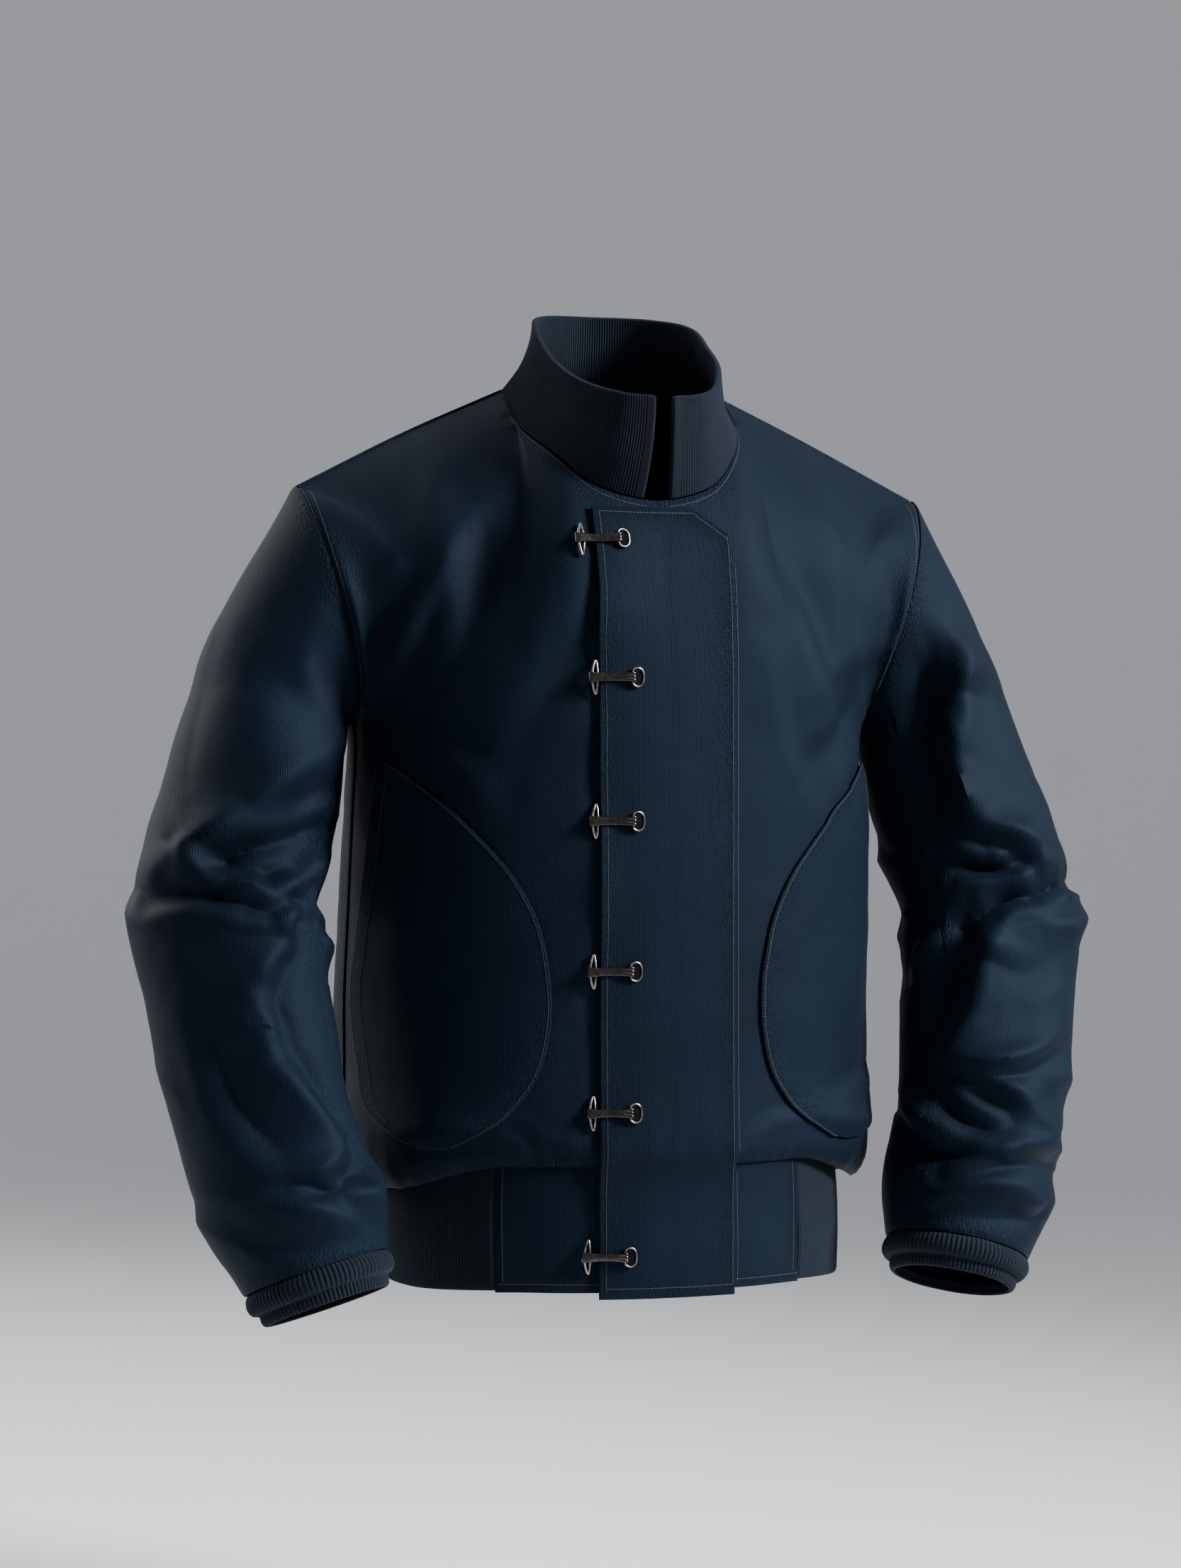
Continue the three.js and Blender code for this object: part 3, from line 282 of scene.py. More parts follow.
def ripples(points, slow, slow_seed, fine, fine_seed):
    """The uneven lie of worn cloth, in millimetres: slow swells and small ones of the sizes given."""
    return 1.6 * drift(points, slow, slow_seed) + 0.45 * drift(points, fine, fine_seed)


every_table = (FRONT_CREASES, BACK_CREASES, *SLEEVE_CREASES.values())
print("creases:", sum(len(creases["u1"]) for creases in every_table))

# %% [markdown]
# ## From a flat grid to a sheet of cloth
# A sheet is added as a grid, flattened out by Blender's unwrap so that its cords run straight as they do in
# the cut, and only then creased and thickened. Cloth simulation was left out: it would lose the creases
# that were listed, and this cloth is stiff enough to keep them.

# %% Helpers for grids
def steps(*spans):
    """Positions of the rows or columns of a sheet: each span is (first, last, how many)."""
    parts = [np.linspace(first, last, count, endpoint=False) for first, last, count in spans]
    return np.concatenate([*parts, [spans[-1][1]]])


def grid_normals(points, inside):
    normals = unit(np.cross(np.gradient(points, axis=0), np.gradient(points, axis=1)))
    return normals * np.sign(np.sum(normals * (points - inside)))


def activate(obj):
    bpy.ops.object.select_all(action="DESELECT")
    obj.select_set(True)
    bpy.context.view_layer.objects.active = obj


def set_places(obj, i, j, points):
    obj.data.vertices.foreach_set("co", (points[i, j] * MM).ravel())
    obj.data.update()


def grid_object(name, points):
    """A grid primitive whose vertices are laid on points (columns, rows, xyz), in millimetres."""
    columns, rows = points.shape[:2]
    bpy.ops.mesh.primitive_grid_add(x_subdivisions=columns - 1, y_subdivisions=rows - 1, size=1)
    obj = bpy.context.object
    obj.name = obj.data.name = name
    flat = np.empty(len(obj.data.vertices) * 3)
    obj.data.vertices.foreach_get("co", flat)
    flat = flat.reshape(-1, 3)
    i = np.rint((flat[:, 0] + 0.5) * (columns - 1)).astype(int)
    j = np.rint((flat[:, 1] + 0.5) * (rows - 1)).astype(int)
    set_places(obj, i, j, points)
    return obj, i, j


def corner_vertices(obj):
    corner = np.empty(len(obj.data.loops), int)
    obj.data.loops.foreach_get("vertex_index", corner)
    return corner


FULLEST_CUT = 0.999


def unwrap_flat(obj, i, j, points):
    """Unwraps the sheet as its flat cut: metres, with its columns upright.
    Returns the cut's width, length and area."""
    activate(obj)
    bpy.ops.object.mode_set(mode="EDIT")
    bpy.ops.mesh.select_all(action="SELECT")
    bpy.ops.uv.unwrap(method="ANGLE_BASED", margin=0)
    bpy.ops.object.mode_set(mode="OBJECT")
    uv = np.empty(len(obj.data.loops) * 2)
    obj.data.uv_layers.active.data.foreach_get("uv", uv)
    uv = uv.reshape(-1, 2)
    place = np.zeros((len(obj.data.vertices), 2))
    place[corner_vertices(obj)] = uv
    grid = np.zeros((*points.shape[:2], 2))
    grid[i, j] = place
    up = np.diff(grid, axis=1).sum((0, 1))
    turn = math.pi / 2 - math.atan2(up[1], up[0])
    spin = np.array([[math.cos(turn), math.sin(turn)], [-math.sin(turn), math.cos(turn)]])
    real = np.linalg.norm(np.diff(points, axis=1), axis=-1).sum()
    drawn = np.linalg.norm(np.diff(grid, axis=1), axis=-1).sum()
    uv = uv @ spin * (real / drawn) * MM
    uv -= uv.min(0)
    obj.data.uv_layers.active.data.foreach_set("uv", uv.ravel())
    width, length = map(float, uv.max(0))
    return width, length, min(grid_area(points), FULLEST_CUT * width * length)


def grid_area(points):
    """Square metres of a grid's surface."""
    across, along = np.diff(points, axis=0)[:, :-1], np.diff(points, axis=1)[:-1]
    return float(np.linalg.norm(np.cross(across, along), axis=-1).sum()) * MM * MM


def outline_of(points):
    return np.concatenate([points[:, 0], points[-1], points[::-1, -1], points[0][::-1]])


POINTS_AT_ONCE = 400


def distance_to(points, line):
    """How far each point is from a line of points, in millimetres."""
    flat, line = points.reshape(-1, 3), np.unique(np.round(line, 2), axis=0)
    near = []
    for first in range(0, len(flat), POINTS_AT_ONCE):
        gaps = flat[first:first + POINTS_AT_ONCE, None] - line[None]
        near.append(np.sqrt((gaps**2).sum(-1).min(1)))
    return np.concatenate(near).reshape(points.shape[:-1])


def length_along(line):
    """How far along a line each of its points is."""
    return np.concatenate([[0], np.cumsum(np.linalg.norm(np.diff(line, axis=0), axis=-1))])


def on_line(at, gone, values):
    """Values between the points of a line, at lengths along it."""
    return np.stack([np.interp(at, gone, column) for column in values.T], -1)


def vertex_value(obj, name, values):
    attribute = obj.data.attributes.new(name, "FLOAT", "POINT")
    attribute.data.foreach_set("value", np.asarray(values, np.float32).ravel())


def add_modifier(obj, kind, **settings):
    activate(obj)
    bpy.ops.object.modifier_add(type=kind)
    modifier = obj.modifiers[-1]
    for key, value in settings.items():
        setattr(modifier, key, value)
    bpy.ops.object.modifier_apply(modifier=modifier.name)


sheets = {}


def finish_piece(obj, nodes, material, smooth=60):
    activate(obj)
    bpy.ops.object.shade_smooth_by_angle(angle=math.radians(smooth))
    obj.data.materials.clear()
    obj.data.materials.append(material)
    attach(obj, "root")
    if nodes:
        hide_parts(*nodes)
    print(f"{obj.name}: {len(obj.data.polygons)} faces")


# %% A cloth panel: base shape in, creased shape in, thick and flat-cut sheet out
SEAM_GAP, CLOTH_WALL, ROLLED_IN, ROLL_REACH = 0.15, 2.0, 0.6, 1.8


def trimmed(points):
    """Draws each edge in by SEAM_GAP, so that two pieces stay apart at their seam."""
    moved = points.copy()
    for edge, neighbour in ((0, 1), (-1, -2)):
        moved[edge] += SEAM_GAP * unit(points[neighbour] - points[edge])
        moved[:, edge] += SEAM_GAP * unit(points[:, neighbour] - points[:, edge])
    return moved


def cloth_panel(name, smooth, creased, normals, nodes):
    """smooth is what the flat cut is unwrapped from. The edges of the creased sheet roll in at its seams."""
    edge = distance_to(creased, outline_of(creased))
    creased = creased - normals * (ROLLED_IN * np.exp(-(edge / ROLL_REACH) ** 2))[..., None]
    creased = trimmed(creased)
    obj, i, j = grid_object(name, smooth)
    width, length, area = unwrap_flat(obj, i, j, smooth)
    set_places(obj, i, j, creased)
    vertex_value(obj, "from_edge", edge[i, j])
    face = obj.data.polygons[len(obj.data.polygons) // 2]
    if face.normal.dot(Vector(normals[tuple(np.array(normals.shape[:2]) // 2)])) < 0:
        obj.data.flip_normals()
    add_modifier(obj, "SOLIDIFY", thickness=CLOTH_WALL * MM, offset=-1, use_rim=True, use_even_offset=False)
    finish_piece(obj, nodes, CLOTH)
    sheets[name] = (creased, normals)
    print(f"{name}: cut from {width * 1000:.0f} x {length * 1000:.0f} mm, area {area:.3f} square metres")


# %% [markdown]
# ## A wall with soft edges
# A folded collar, a patch pocket or the placket has edges that turn over, so a plain thickness looks like
# cardboard. These pieces are laid as one closed strip: up the outside, over a rounded edge and down the
# inside. Where the edge is near, the wall thins along a quarter circle until both faces meet.

# %% A closed wall with rounded edges, from an outer face and its normals
def strip_object(name, outer, inner, ringed=False):
    """Joins two faces (columns, rows, xyz) into one closed wall."""
    loop = np.concatenate([outer, inner[:, ::-1], outer[:, :1]], axis=1)
    if ringed:
        loop = np.concatenate([loop, loop[:1]])
    obj, i, j = grid_object(name, loop)
    rows, half = loop.shape[1], outer.shape[1]
    return obj, i, np.where(j == rows - 1, 0, np.where(j < half, j, 2 * half - 1 - j)), j


def close_strip(obj, ringed=False):
    activate(obj)
    bpy.ops.object.mode_set(mode="EDIT")
    bpy.ops.mesh.select_all(action="SELECT")
    bpy.ops.mesh.remove_doubles(threshold=0.00001)
    if not ringed:
        bpy.ops.mesh.select_all(action="DESELECT")
        bpy.ops.mesh.select_non_manifold(
            extend=False, use_boundary=True, use_wire=False, use_multi_face=False, use_non_contiguous=False,
            use_verts=False)
        bpy.ops.mesh.edge_face_add()
    bpy.ops.object.mode_set(mode="OBJECT")
    face_outwards(obj)


def face_outwards(obj):
    activate(obj)
    bpy.ops.object.mode_set(mode="EDIT")
    bpy.ops.mesh.select_all(action="SELECT")
    bpy.ops.mesh.normals_make_consistent(inside=False)
    bpy.ops.object.mode_set(mode="OBJECT")


def set_strip_uv(obj, place):
    """place holds (u, v) in metres for each vertex before doubles are merged."""
    layer = obj.data.uv_layers.active or obj.data.uv_layers.new(name="UVMap")
    layer.data.foreach_set("uv", place[corner_vertices(obj)].ravel())


def soft_wall(edge, wall):
    """Thickness near a rounded edge."""
    reach = np.clip(edge / (wall / 2), 0, 1)
    return wall * np.sqrt(np.clip(1 - (1 - reach) ** 2, 0, 1))


# %% [markdown]
# ## Cloth and knit
# The cloth is a fine cord: a line of shine and shade every millimetre and a quarter, straight along the
# cut, over a close weave; the bump raises it and the colour paints its shine and shade as well. The knit is
# a dense matt rib, with a painted highlight on the crown of each wale. Both share one group for the slow
# unevenness of dyed cotton, for the paler thread along worn edges and for these painted highlights. The
# cord reads the sheet's own flat cut, so it bends where the cloth bends.

# %% Shader helpers
def node(tree, kind, place, **values):
    made = tree.nodes.new(kind)
    made.location = place
    for key, value in values.items():
        if hasattr(made, key):
            setattr(made, key, value)
        else:
            made.inputs[key.replace("_", " ")].default_value = value
    return made


def math_node(tree, operation, a, b=None):
    made = tree.nodes.new("ShaderNodeMath")
    made.operation = operation
    for index, value in enumerate((a, b)):
        if value is None:
            continue
        if isinstance(value, (int, float)):
            made.inputs[index].default_value = value
        else:
            tree.links.new(value, made.inputs[index])
    return made.outputs[0]


def times(tree, a, b):
    return math_node(tree, "MULTIPLY", a, b)


def plus(tree, a, b):
    return math_node(tree, "ADD", a, b)


def worn_dye_group():
    """Colour of dyed cotton: slow patches, fine flecks, paler worn edges and painted highlights.
    Built once for cloth and knit.
    """
    group = bpy.data.node_groups.new("worn_dye", "ShaderNodeTree")
    face = group.interface
    for name, kind, value in (
            ("Deep", "NodeSocketColor", (0, 0, 0, 1)), ("Pale", "NodeSocketColor", (1, 1, 1, 1)),
            ("Patch Size", "NodeSocketFloat", 9.0), ("Worn Edge And Painted Shine", "NodeSocketFloat", 0.0)):
        face.new_socket(name=name, in_out="INPUT", socket_type=kind).default_value = value
    face.new_socket(name="Colour", in_out="OUTPUT", socket_type="NodeSocketColor")
    start, end = group.nodes.new("NodeGroupInput"), group.nodes.new("NodeGroupOutput")
    where = node(group, "ShaderNodeTexCoord", (-800, 0))
    patches = node(group, "ShaderNodeTexNoise", (-600, 100), Detail=3.0)
    flecks = node(group, "ShaderNodeTexNoise", (-600, -150), Scale=900.0, Detail=2.0)
    group.links.new(where.outputs["Object"], patches.inputs["Vector"])
    group.links.new(where.outputs["Object"], flecks.inputs["Vector"])
    group.links.new(start.outputs["Patch Size"], patches.inputs["Scale"])
    slow = times(group, math_node(group, "SUBTRACT", patches.outputs["Fac"], 0.38), 1.2)
    fine = times(group, math_node(group, "SUBTRACT", flecks.outputs["Fac"], 0.5), 0.5)
    # The share given from outside: paler worn edges on the cloth, and painted highlights on the cord and the
    # wales.
    share = plus(group, plus(group, slow, fine), start.outputs["Worn Edge And Painted Shine"])
    limit = node(group, "ShaderNodeClamp", (-100, 0))
    group.links.new(share, limit.inputs["Value"])
    blend = node(group, "ShaderNodeMix", (50, 0), data_type="RGBA")
    group.links.new(limit.outputs[0], blend.inputs[0])
    group.links.new(start.outputs["Deep"], blend.inputs[6])
    group.links.new(start.outputs["Pale"], blend.inputs[7])
    group.links.new(blend.outputs[2], end.inputs["Colour"])
    return group


WORN_DYE = worn_dye_group()


def new_material(name, **settings):
    material = bpy.data.materials.new(name)
    material.use_nodes = True
    shader = material.node_tree.nodes["Principled BSDF"]
    for key, value in settings.items():
        shader.inputs[key.replace("_", " ")].default_value = value
    return material, material.node_tree, shader


def dyed(tree, deep, pale, patch_size, edge=None):
    made = tree.nodes.new("ShaderNodeGroup")
    made.node_tree = WORN_DYE
    made.inputs["Deep"].default_value, made.inputs["Pale"].default_value = (*deep, 1), (*pale, 1)
    made.inputs["Patch Size"].default_value = patch_size
    # edge brings the paler share: worn edges, and painted highlights on the cord and the knit's wales.
    if edge is not None:
        tree.links.new(edge, made.inputs["Worn Edge And Painted Shine"])
    return made.outputs["Colour"]


def bump(tree, shader, height, distance, strength=0.8, under=None):
    made = node(tree, "ShaderNodeBump", (-200, -300), Strength=strength, Distance=distance)
    tree.links.new(height, made.inputs["Height"])
    if under is not None:
        tree.links.new(under, made.inputs["Normal"])
    tree.links.new(made.outputs["Normal"], shader.inputs["Normal"])
    return made.outputs["Normal"]


# %% The corded cloth
CORD_PITCH, WEFT_PITCH, CORD_WANDER = 0.00125, 0.0009, 0.0012
PALE_EDGE, PUCKERED_EDGE = 0.9, 7.0


def corded_cloth(name, deep, pale):
    material, tree, shader = new_material(
        name, Roughness=0.64, Specular_IOR_Level=0.12, Specular_Tint=(0.4, 0.6, 0.9, 1), Sheen_Weight=0.015,
        Sheen_Roughness=0.4, Sheen_Tint=(0.45, 0.62, 0.9, 1))
    cut = tree.nodes.new("ShaderNodeUVMap")
    sides = tree.nodes.new("ShaderNodeSeparateXYZ")
    tree.links.new(cut.outputs["UV"], sides.inputs[0])
    wander = node(tree, "ShaderNodeTexNoise", (-900, 200), Scale=14.0, Detail=2.0)
    tree.links.new(cut.outputs["UV"], wander.inputs["Vector"])
    across = plus(tree, sides.outputs[0], times(tree, wander.outputs["Fac"], CORD_WANDER))
    cord = math_node(tree, "SINE", times(tree, across, 2 * math.pi / CORD_PITCH))
    weft = math_node(tree, "SINE", times(tree, sides.outputs[1], 2 * math.pi / WEFT_PITCH))
    slub = node(tree, "ShaderNodeTexNoise", (-900, -200), Scale=260.0, Detail=3.0)
    stretch = node(tree, "ShaderNodeMapping", (-1000, -200))
    stretch.inputs["Scale"].default_value = (1, 0.12, 1)
    tree.links.new(cut.outputs["UV"], stretch.inputs["Vector"])
    tree.links.new(stretch.outputs[0], slub.inputs["Vector"])
    edge = node(tree, "ShaderNodeAttribute", (-1000, -500), attribute_name="from_edge")
    near = math_node(tree, "POWER", 0.5, math_node(tree, "DIVIDE", edge.outputs["Fac"], PALE_EDGE))
    rough = node(tree, "ShaderNodeTexNoise", (-900, -600), Scale=700.0, Detail=2.0)
    worn = times(tree, near, times(tree, rough.outputs["Fac"], 0.9))
    # Painted shine and shade: the cord's lines also make the colour paler and darker in turn.
    painted_cord_shine = times(tree, cord, 0.07)
    tree.links.new(dyed(tree, deep, pale, 7.0, plus(tree, worn, painted_cord_shine)), shader.inputs["Base Color"])
    height = plus(tree, times(tree, cord, 0.5), times(tree, weft, 0.12))
    height = plus(tree, height, times(tree, slub.outputs["Fac"], 1.1))
    fine = bump(tree, shader, height, 0.00016)
    pucker = node(tree, "ShaderNodeTexNoise", (-900, -800), Scale=150.0, Detail=1.0)
    band = math_node(tree, "POWER", 0.5, math_node(tree, "DIVIDE", edge.outputs["Fac"], PUCKERED_EDGE))
    bump(tree, shader, times(tree, pucker.outputs["Fac"], band), 0.0022, under=fine)
    return material


CLOTH = corded_cloth("corded_navy_cotton", (0.0013, 0.0033, 0.0074), (0.0034, 0.0082, 0.0170))

# %% The rib knit
LOOP_PITCH = 0.0016


def rib_knit(name, deep, pale):
    material, tree, shader = new_material(
        name, Roughness=0.88, Specular_IOR_Level=0.15, Sheen_Weight=0.05, Sheen_Roughness=0.5,
        Sheen_Tint=(0.5, 0.6, 0.8, 1))
    cut = tree.nodes.new("ShaderNodeUVMap")
    sides = tree.nodes.new("ShaderNodeSeparateXYZ")
    tree.links.new(cut.outputs["UV"], sides.inputs[0])
    loops = math_node(tree, "SINE", times(tree, sides.outputs[1], 2 * math.pi / LOOP_PITCH))
    fuzz = node(tree, "ShaderNodeTexNoise", (-900, -200), Scale=1400.0, Detail=3.0)
    where = tree.nodes.new("ShaderNodeTexCoord")
    tree.links.new(where.outputs["Object"], fuzz.inputs["Vector"])
    # Painted highlight: the crown of each wale is made paler in colour, as if lit.
    crown = node(tree, "ShaderNodeAttribute", (-1000, -500), attribute_name="rib_crown_highlight")
    share = times(tree, crown.outputs["Fac"], 0.35)
    tree.links.new(dyed(tree, deep, pale, 11.0, share), shader.inputs["Base Color"])
    height = plus(tree, times(tree, loops, 0.35), fuzz.outputs["Fac"])
    bump(tree, shader, height, 0.00022)
    return material


RIB = rib_knit("navy_rib_knit", (0.0013, 0.0033, 0.0072), (0.0040, 0.0092, 0.0180))


# %% Thread and dark nickel
def thread(name, colour):
    """Twisted thread. Where the mesh marks a needle hole, the colour is nearly black: painted shade."""
    material, tree, shader = new_material(name, Roughness=0.55, Specular_IOR_Level=0.4, Sheen_Weight=0.1)
    twist = node(tree, "ShaderNodeTexNoise", (-600, 0), Scale=2600.0, Detail=1.0)
    where = tree.nodes.new("ShaderNodeTexCoord")
    tree.links.new(where.outputs["Object"], twist.inputs["Vector"])
    hole = node(tree, "ShaderNodeAttribute", (-600, -300), attribute_name="needle_hole_shade")
    pit = node(tree, "ShaderNodeMix", (-200, 0), data_type="RGBA")
    tree.links.new(hole.outputs["Fac"], pit.inputs[0])
    dye = dyed(tree, [c * 0.7 for c in colour], [c * 1.6 for c in colour], 60.0)
    tree.links.new(dye, pit.inputs[6])
    # Nearly black: the painted shade in the needle hole.
    pit.inputs[7].default_value = (0.0006, 0.0009, 0.0015, 1)
    tree.links.new(pit.outputs[2], shader.inputs["Base Color"])
    bump(tree, shader, twist.outputs["Fac"], 0.0001)
    return material


def dark_nickel(name, low, high):
    """Plated metal under a clear coat, from a low tone to a high one where it is rubbed."""
    material, tree, shader = new_material(name, Metallic=1.0, Coat_Weight=0.7, Coat_Roughness=0.06)
    where = tree.nodes.new("ShaderNodeTexCoord")
    rubbed = node(tree, "ShaderNodeTexNoise", (-700, 100), Scale=420.0, Detail=4.0)
    spots = node(tree, "ShaderNodeTexNoise", (-700, -150), Scale=1900.0, Detail=2.0)
    for texture in (rubbed, spots):
        tree.links.new(where.outputs["Object"], texture.inputs["Vector"])
    ramp = node(tree, "ShaderNodeValToRGB", (-450, 100))
    for stop, tone, position in zip(ramp.color_ramp.elements, (low, high), (0.3, 0.72)):
        stop.color, stop.position = (*tone, 1), position
    tree.links.new(rubbed.outputs["Fac"], ramp.inputs["Fac"])
    tree.links.new(ramp.outputs["Color"], shader.inputs["Base Color"])
    rough = plus(tree, times(tree, spots.outputs["Fac"], 0.22), 0.14)
    tree.links.new(rough, shader.inputs["Roughness"])
    bump(tree, shader, spots.outputs["Fac"], 0.00006, 0.5)
    return material


THREAD = thread("navy_thread", (0.0050, 0.0102, 0.0195))
NICKEL = dark_nickel("rubbed_dark_nickel", (0.010, 0.0085, 0.0075), (0.060, 0.052, 0.046))
BRIGHT = dark_nickel("bright_dark_nickel", (0.06, 0.055, 0.052), (0.36, 0.34, 0.32))
# Nearly black and matt: painted shade for the inside of each ring.
RING_SHADE, _, _ = new_material(
    "painted_ring_shade", Base_Color=(0.004, 0.004, 0.0045, 1), Roughness=0.9, Specular_IOR_Level=0.03)
print("materials:", [made.name for made in (CLOTH, RIB, THREAD, NICKEL, BRIGHT, RING_SHADE)])

# %% [markdown]
# ## Fronts and back
# Each front is one piece from the shoulder to the waist seam, and the back is one piece without a centre
# seam. The cloth rises from a lip that bags over the waistband, up the rings to the chest, and then over
# the shoulders.

# %% Points of a body panel
EDGE_SHARES = np.array([0.12, 0.3, 0.6])


def with_edges(at):
    """Adds closer rows beside the first and the last, where a seam rolls in."""
    first, last = at[1] - at[0], at[-1] - at[-2]
    return np.unique(np.concatenate([at, at[0] + first * EDGE_SHARES, at[-1] - last * EDGE_SHARES]))


CHEST = len(BODY["square"]) - 1
BODY_TOP = CHEST + CHEST_STEPS
BODY_ROWS = with_edges(steps(
    (0, 1, 3), (1, 2, 3), (2, 3, 6), (3, 4, 8), (4, CHEST, 30), (CHEST, BODY_TOP, 36)))


def body_points(side, is_back, columns, rows):
    tops, turn, home = column_tops(side, is_back, columns)
    low, high = rows[rows <= CHEST], rows[rows > CHEST]
    rings = ring_point(BODY, side, turn[:, None], low[None, :])
    chest = ring_point(BODY, side, turn, float(CHEST))
    t = np.broadcast_to((high - CHEST) / CHEST_STEPS, (len(columns), len(high)))
    above = arch(chest[:, None], tops[:, None], np.array([0, 0, 1.0]), home[:, None], t)
    return np.concatenate([rings, above], axis=1), turn


def body_fade(from_side, rows):
    """0 at the seams, where the creases end, and 1 within the piece."""
    from_end = np.minimum(BODY_TOP - rows, 2 * rows) / 2
    return ease(np.minimum(from_side[:, None], from_end[None, :]))


BODY_MIDDLE, GATHER_PITCH, GATHER_RADIUS, GATHER_ROW = 20, 17.0, 170, 1.6


def gathers(points, rows, depth):
    """Small upright gathers where the cloth is drawn in to the waistband."""
    around = np.arctan2(points[..., 0], -(points[..., 1] - BODY_MIDDLE)) * GATHER_RADIUS
    wave = np.sin(2 * np.pi * around / GATHER_PITCH + 2.5 * drift(points, 40.0, 3.0))
    return depth * wave * np.exp(-((rows[None, :] - GATHER_ROW) / 1.1) ** 2)


def creased_body(points, from_side, rows, creases, depth, gather_depth):
    inside = np.stack([np.zeros(points.shape[:2]), np.full(points.shape[:2], float(BODY_MIDDLE)),
                       np.minimum(points[..., 2], -120)], -1)
    normals = grid_normals(points, inside)
    height = depth * crease_height(creases, points[..., 0], points[..., 2])
    height += ripples(points, 62.0, 1.0, 21.0, 4.0)
    height = height * body_fade(from_side, rows) + gathers(points, rows, gather_depth)
    creased = points + normals * height[..., None]
    return creased, grid_normals(creased, inside)


# %% The two fronts
NECK_END, TIP = NECK_STEPS, NECK_STEPS + SHOULDER_STEPS
SIDE_SEAM = TIP + ARMHOLE_STEPS
FRONT_COLUMNS = with_edges(steps((0, NECK_END, 18), (NECK_END, TIP, 15), (TIP, SIDE_SEAM, 34)))
front_turns = {}
for side, name in ((-1, "front_right"), (1, "front_left")):
    smooth, front_turns[side] = body_points(side, False, FRONT_COLUMNS, BODY_ROWS)
    from_side = np.minimum(FRONT_COLUMNS / 2, (SIDE_SEAM - FRONT_COLUMNS) / 3)
    creased, normals = creased_body(smooth, from_side, BODY_ROWS, FRONT_CREASES, 1.8, 0.5)
    cloth_panel(name + "_cloth", smooth, creased, normals, [name])

# %% The back, from side seam to side seam
BACK_TIP = BACK_NECK_STEPS + SHOULDER_STEPS
BACK_SIDE = BACK_TIP + ARMHOLE_STEPS
half = with_edges(steps((0, BACK_NECK_STEPS, 16), (BACK_NECK_STEPS, BACK_TIP, 15), (BACK_TIP, BACK_SIDE, 34)))
half = half[(half == 0) | (half > 0.2)]
right, _ = body_points(-1, True, half[1:], BODY_ROWS)
left, _ = body_points(1, True, half, BODY_ROWS)
back_columns = np.concatenate([-half[:0:-1], half])
smooth = np.concatenate([right[::-1], left])
from_side = (BACK_SIDE - np.abs(back_columns)) / 2
creased, normals = creased_body(smooth, from_side, BODY_ROWS, BACK_CREASES, 2.1, 1.1)
cloth_panel("back_cloth", smooth, creased, normals, ["back"])

# %% [markdown]
# ## Sleeves
# A sleeve is a top piece and an under piece, seamed behind and in front of the arm. Both are cut out of one
# whole sleeve here, so that a crease runs across the seam as it does on the jacket.

# %% The arm's own directions and its rings
def arm_frame(side, at):
    at = np.asarray(at, float)
    last = len(ARM["x"]) - 1
    centre = place_on(ARM, at)
    down = unit(place_on(ARM, np.minimum(at + 0.05, last)) - place_on(ARM, np.maximum(at - 0.05, 0)))
    outward = unit(np.array([1.0, 0, 0]) - down * down[..., :1])
    frontward = np.cross(outward, down)
    frontward = frontward * np.where(frontward[..., 1:2] > 0, -1, 1)
    flip = np.array([side, 1, 1])
    return centre * flip, down * flip, outward * flip, frontward * flip


def arm_point(side, turn, at):
    centre, _, outward, frontward = arm_frame(side, at)
    angle = np.radians(turn)
    return centre + outward * (through(ARM, "across", at) * np.cos(angle))[..., None] + frontward * (
        through(ARM, "deep", at) * np.sin(angle))[..., None]


def sleeve_points(side, turns, rows):
    """Rows run from -CAP_STEPS at the armhole, over the cap to 0, then down the arm's rings."""
    turn, row = np.meshgrid(turns, rows, indexing="ij")
    arm = arm_point(side, turn, np.maximum(row, 0))
    start = place_on(ARMHOLE, np.mod(turns, 360) / 45, True) * np.array([side, 1, 1])
    t = np.clip((row + CAP_STEPS) / CAP_STEPS, 0, 1)
    ring_top = arm_point(side, turns, np.zeros(len(turns)))
    away = np.array([0.45 * side, 0, -0.89])
    cap = arch(start[:, None], ring_top[:, None], away, arm_frame(side, 0.0)[1], t)
    return np.where((row > 0)[..., None], arm, cap)


ARM_RADIUS = 60


def round_arm(degrees):
    return np.radians(degrees) * ARM_RADIUS


def sleeve_height(side, turn, z):
    creases = dict(SLEEVE_CREASES[side])
    creases["u1"], creases["u2"] = round_arm(creases["u1"]), round_arm(creases["u2"])
    return crease_height(creases, round_arm(turn), z) + crease_height(creases, round_arm(turn - 360), z)


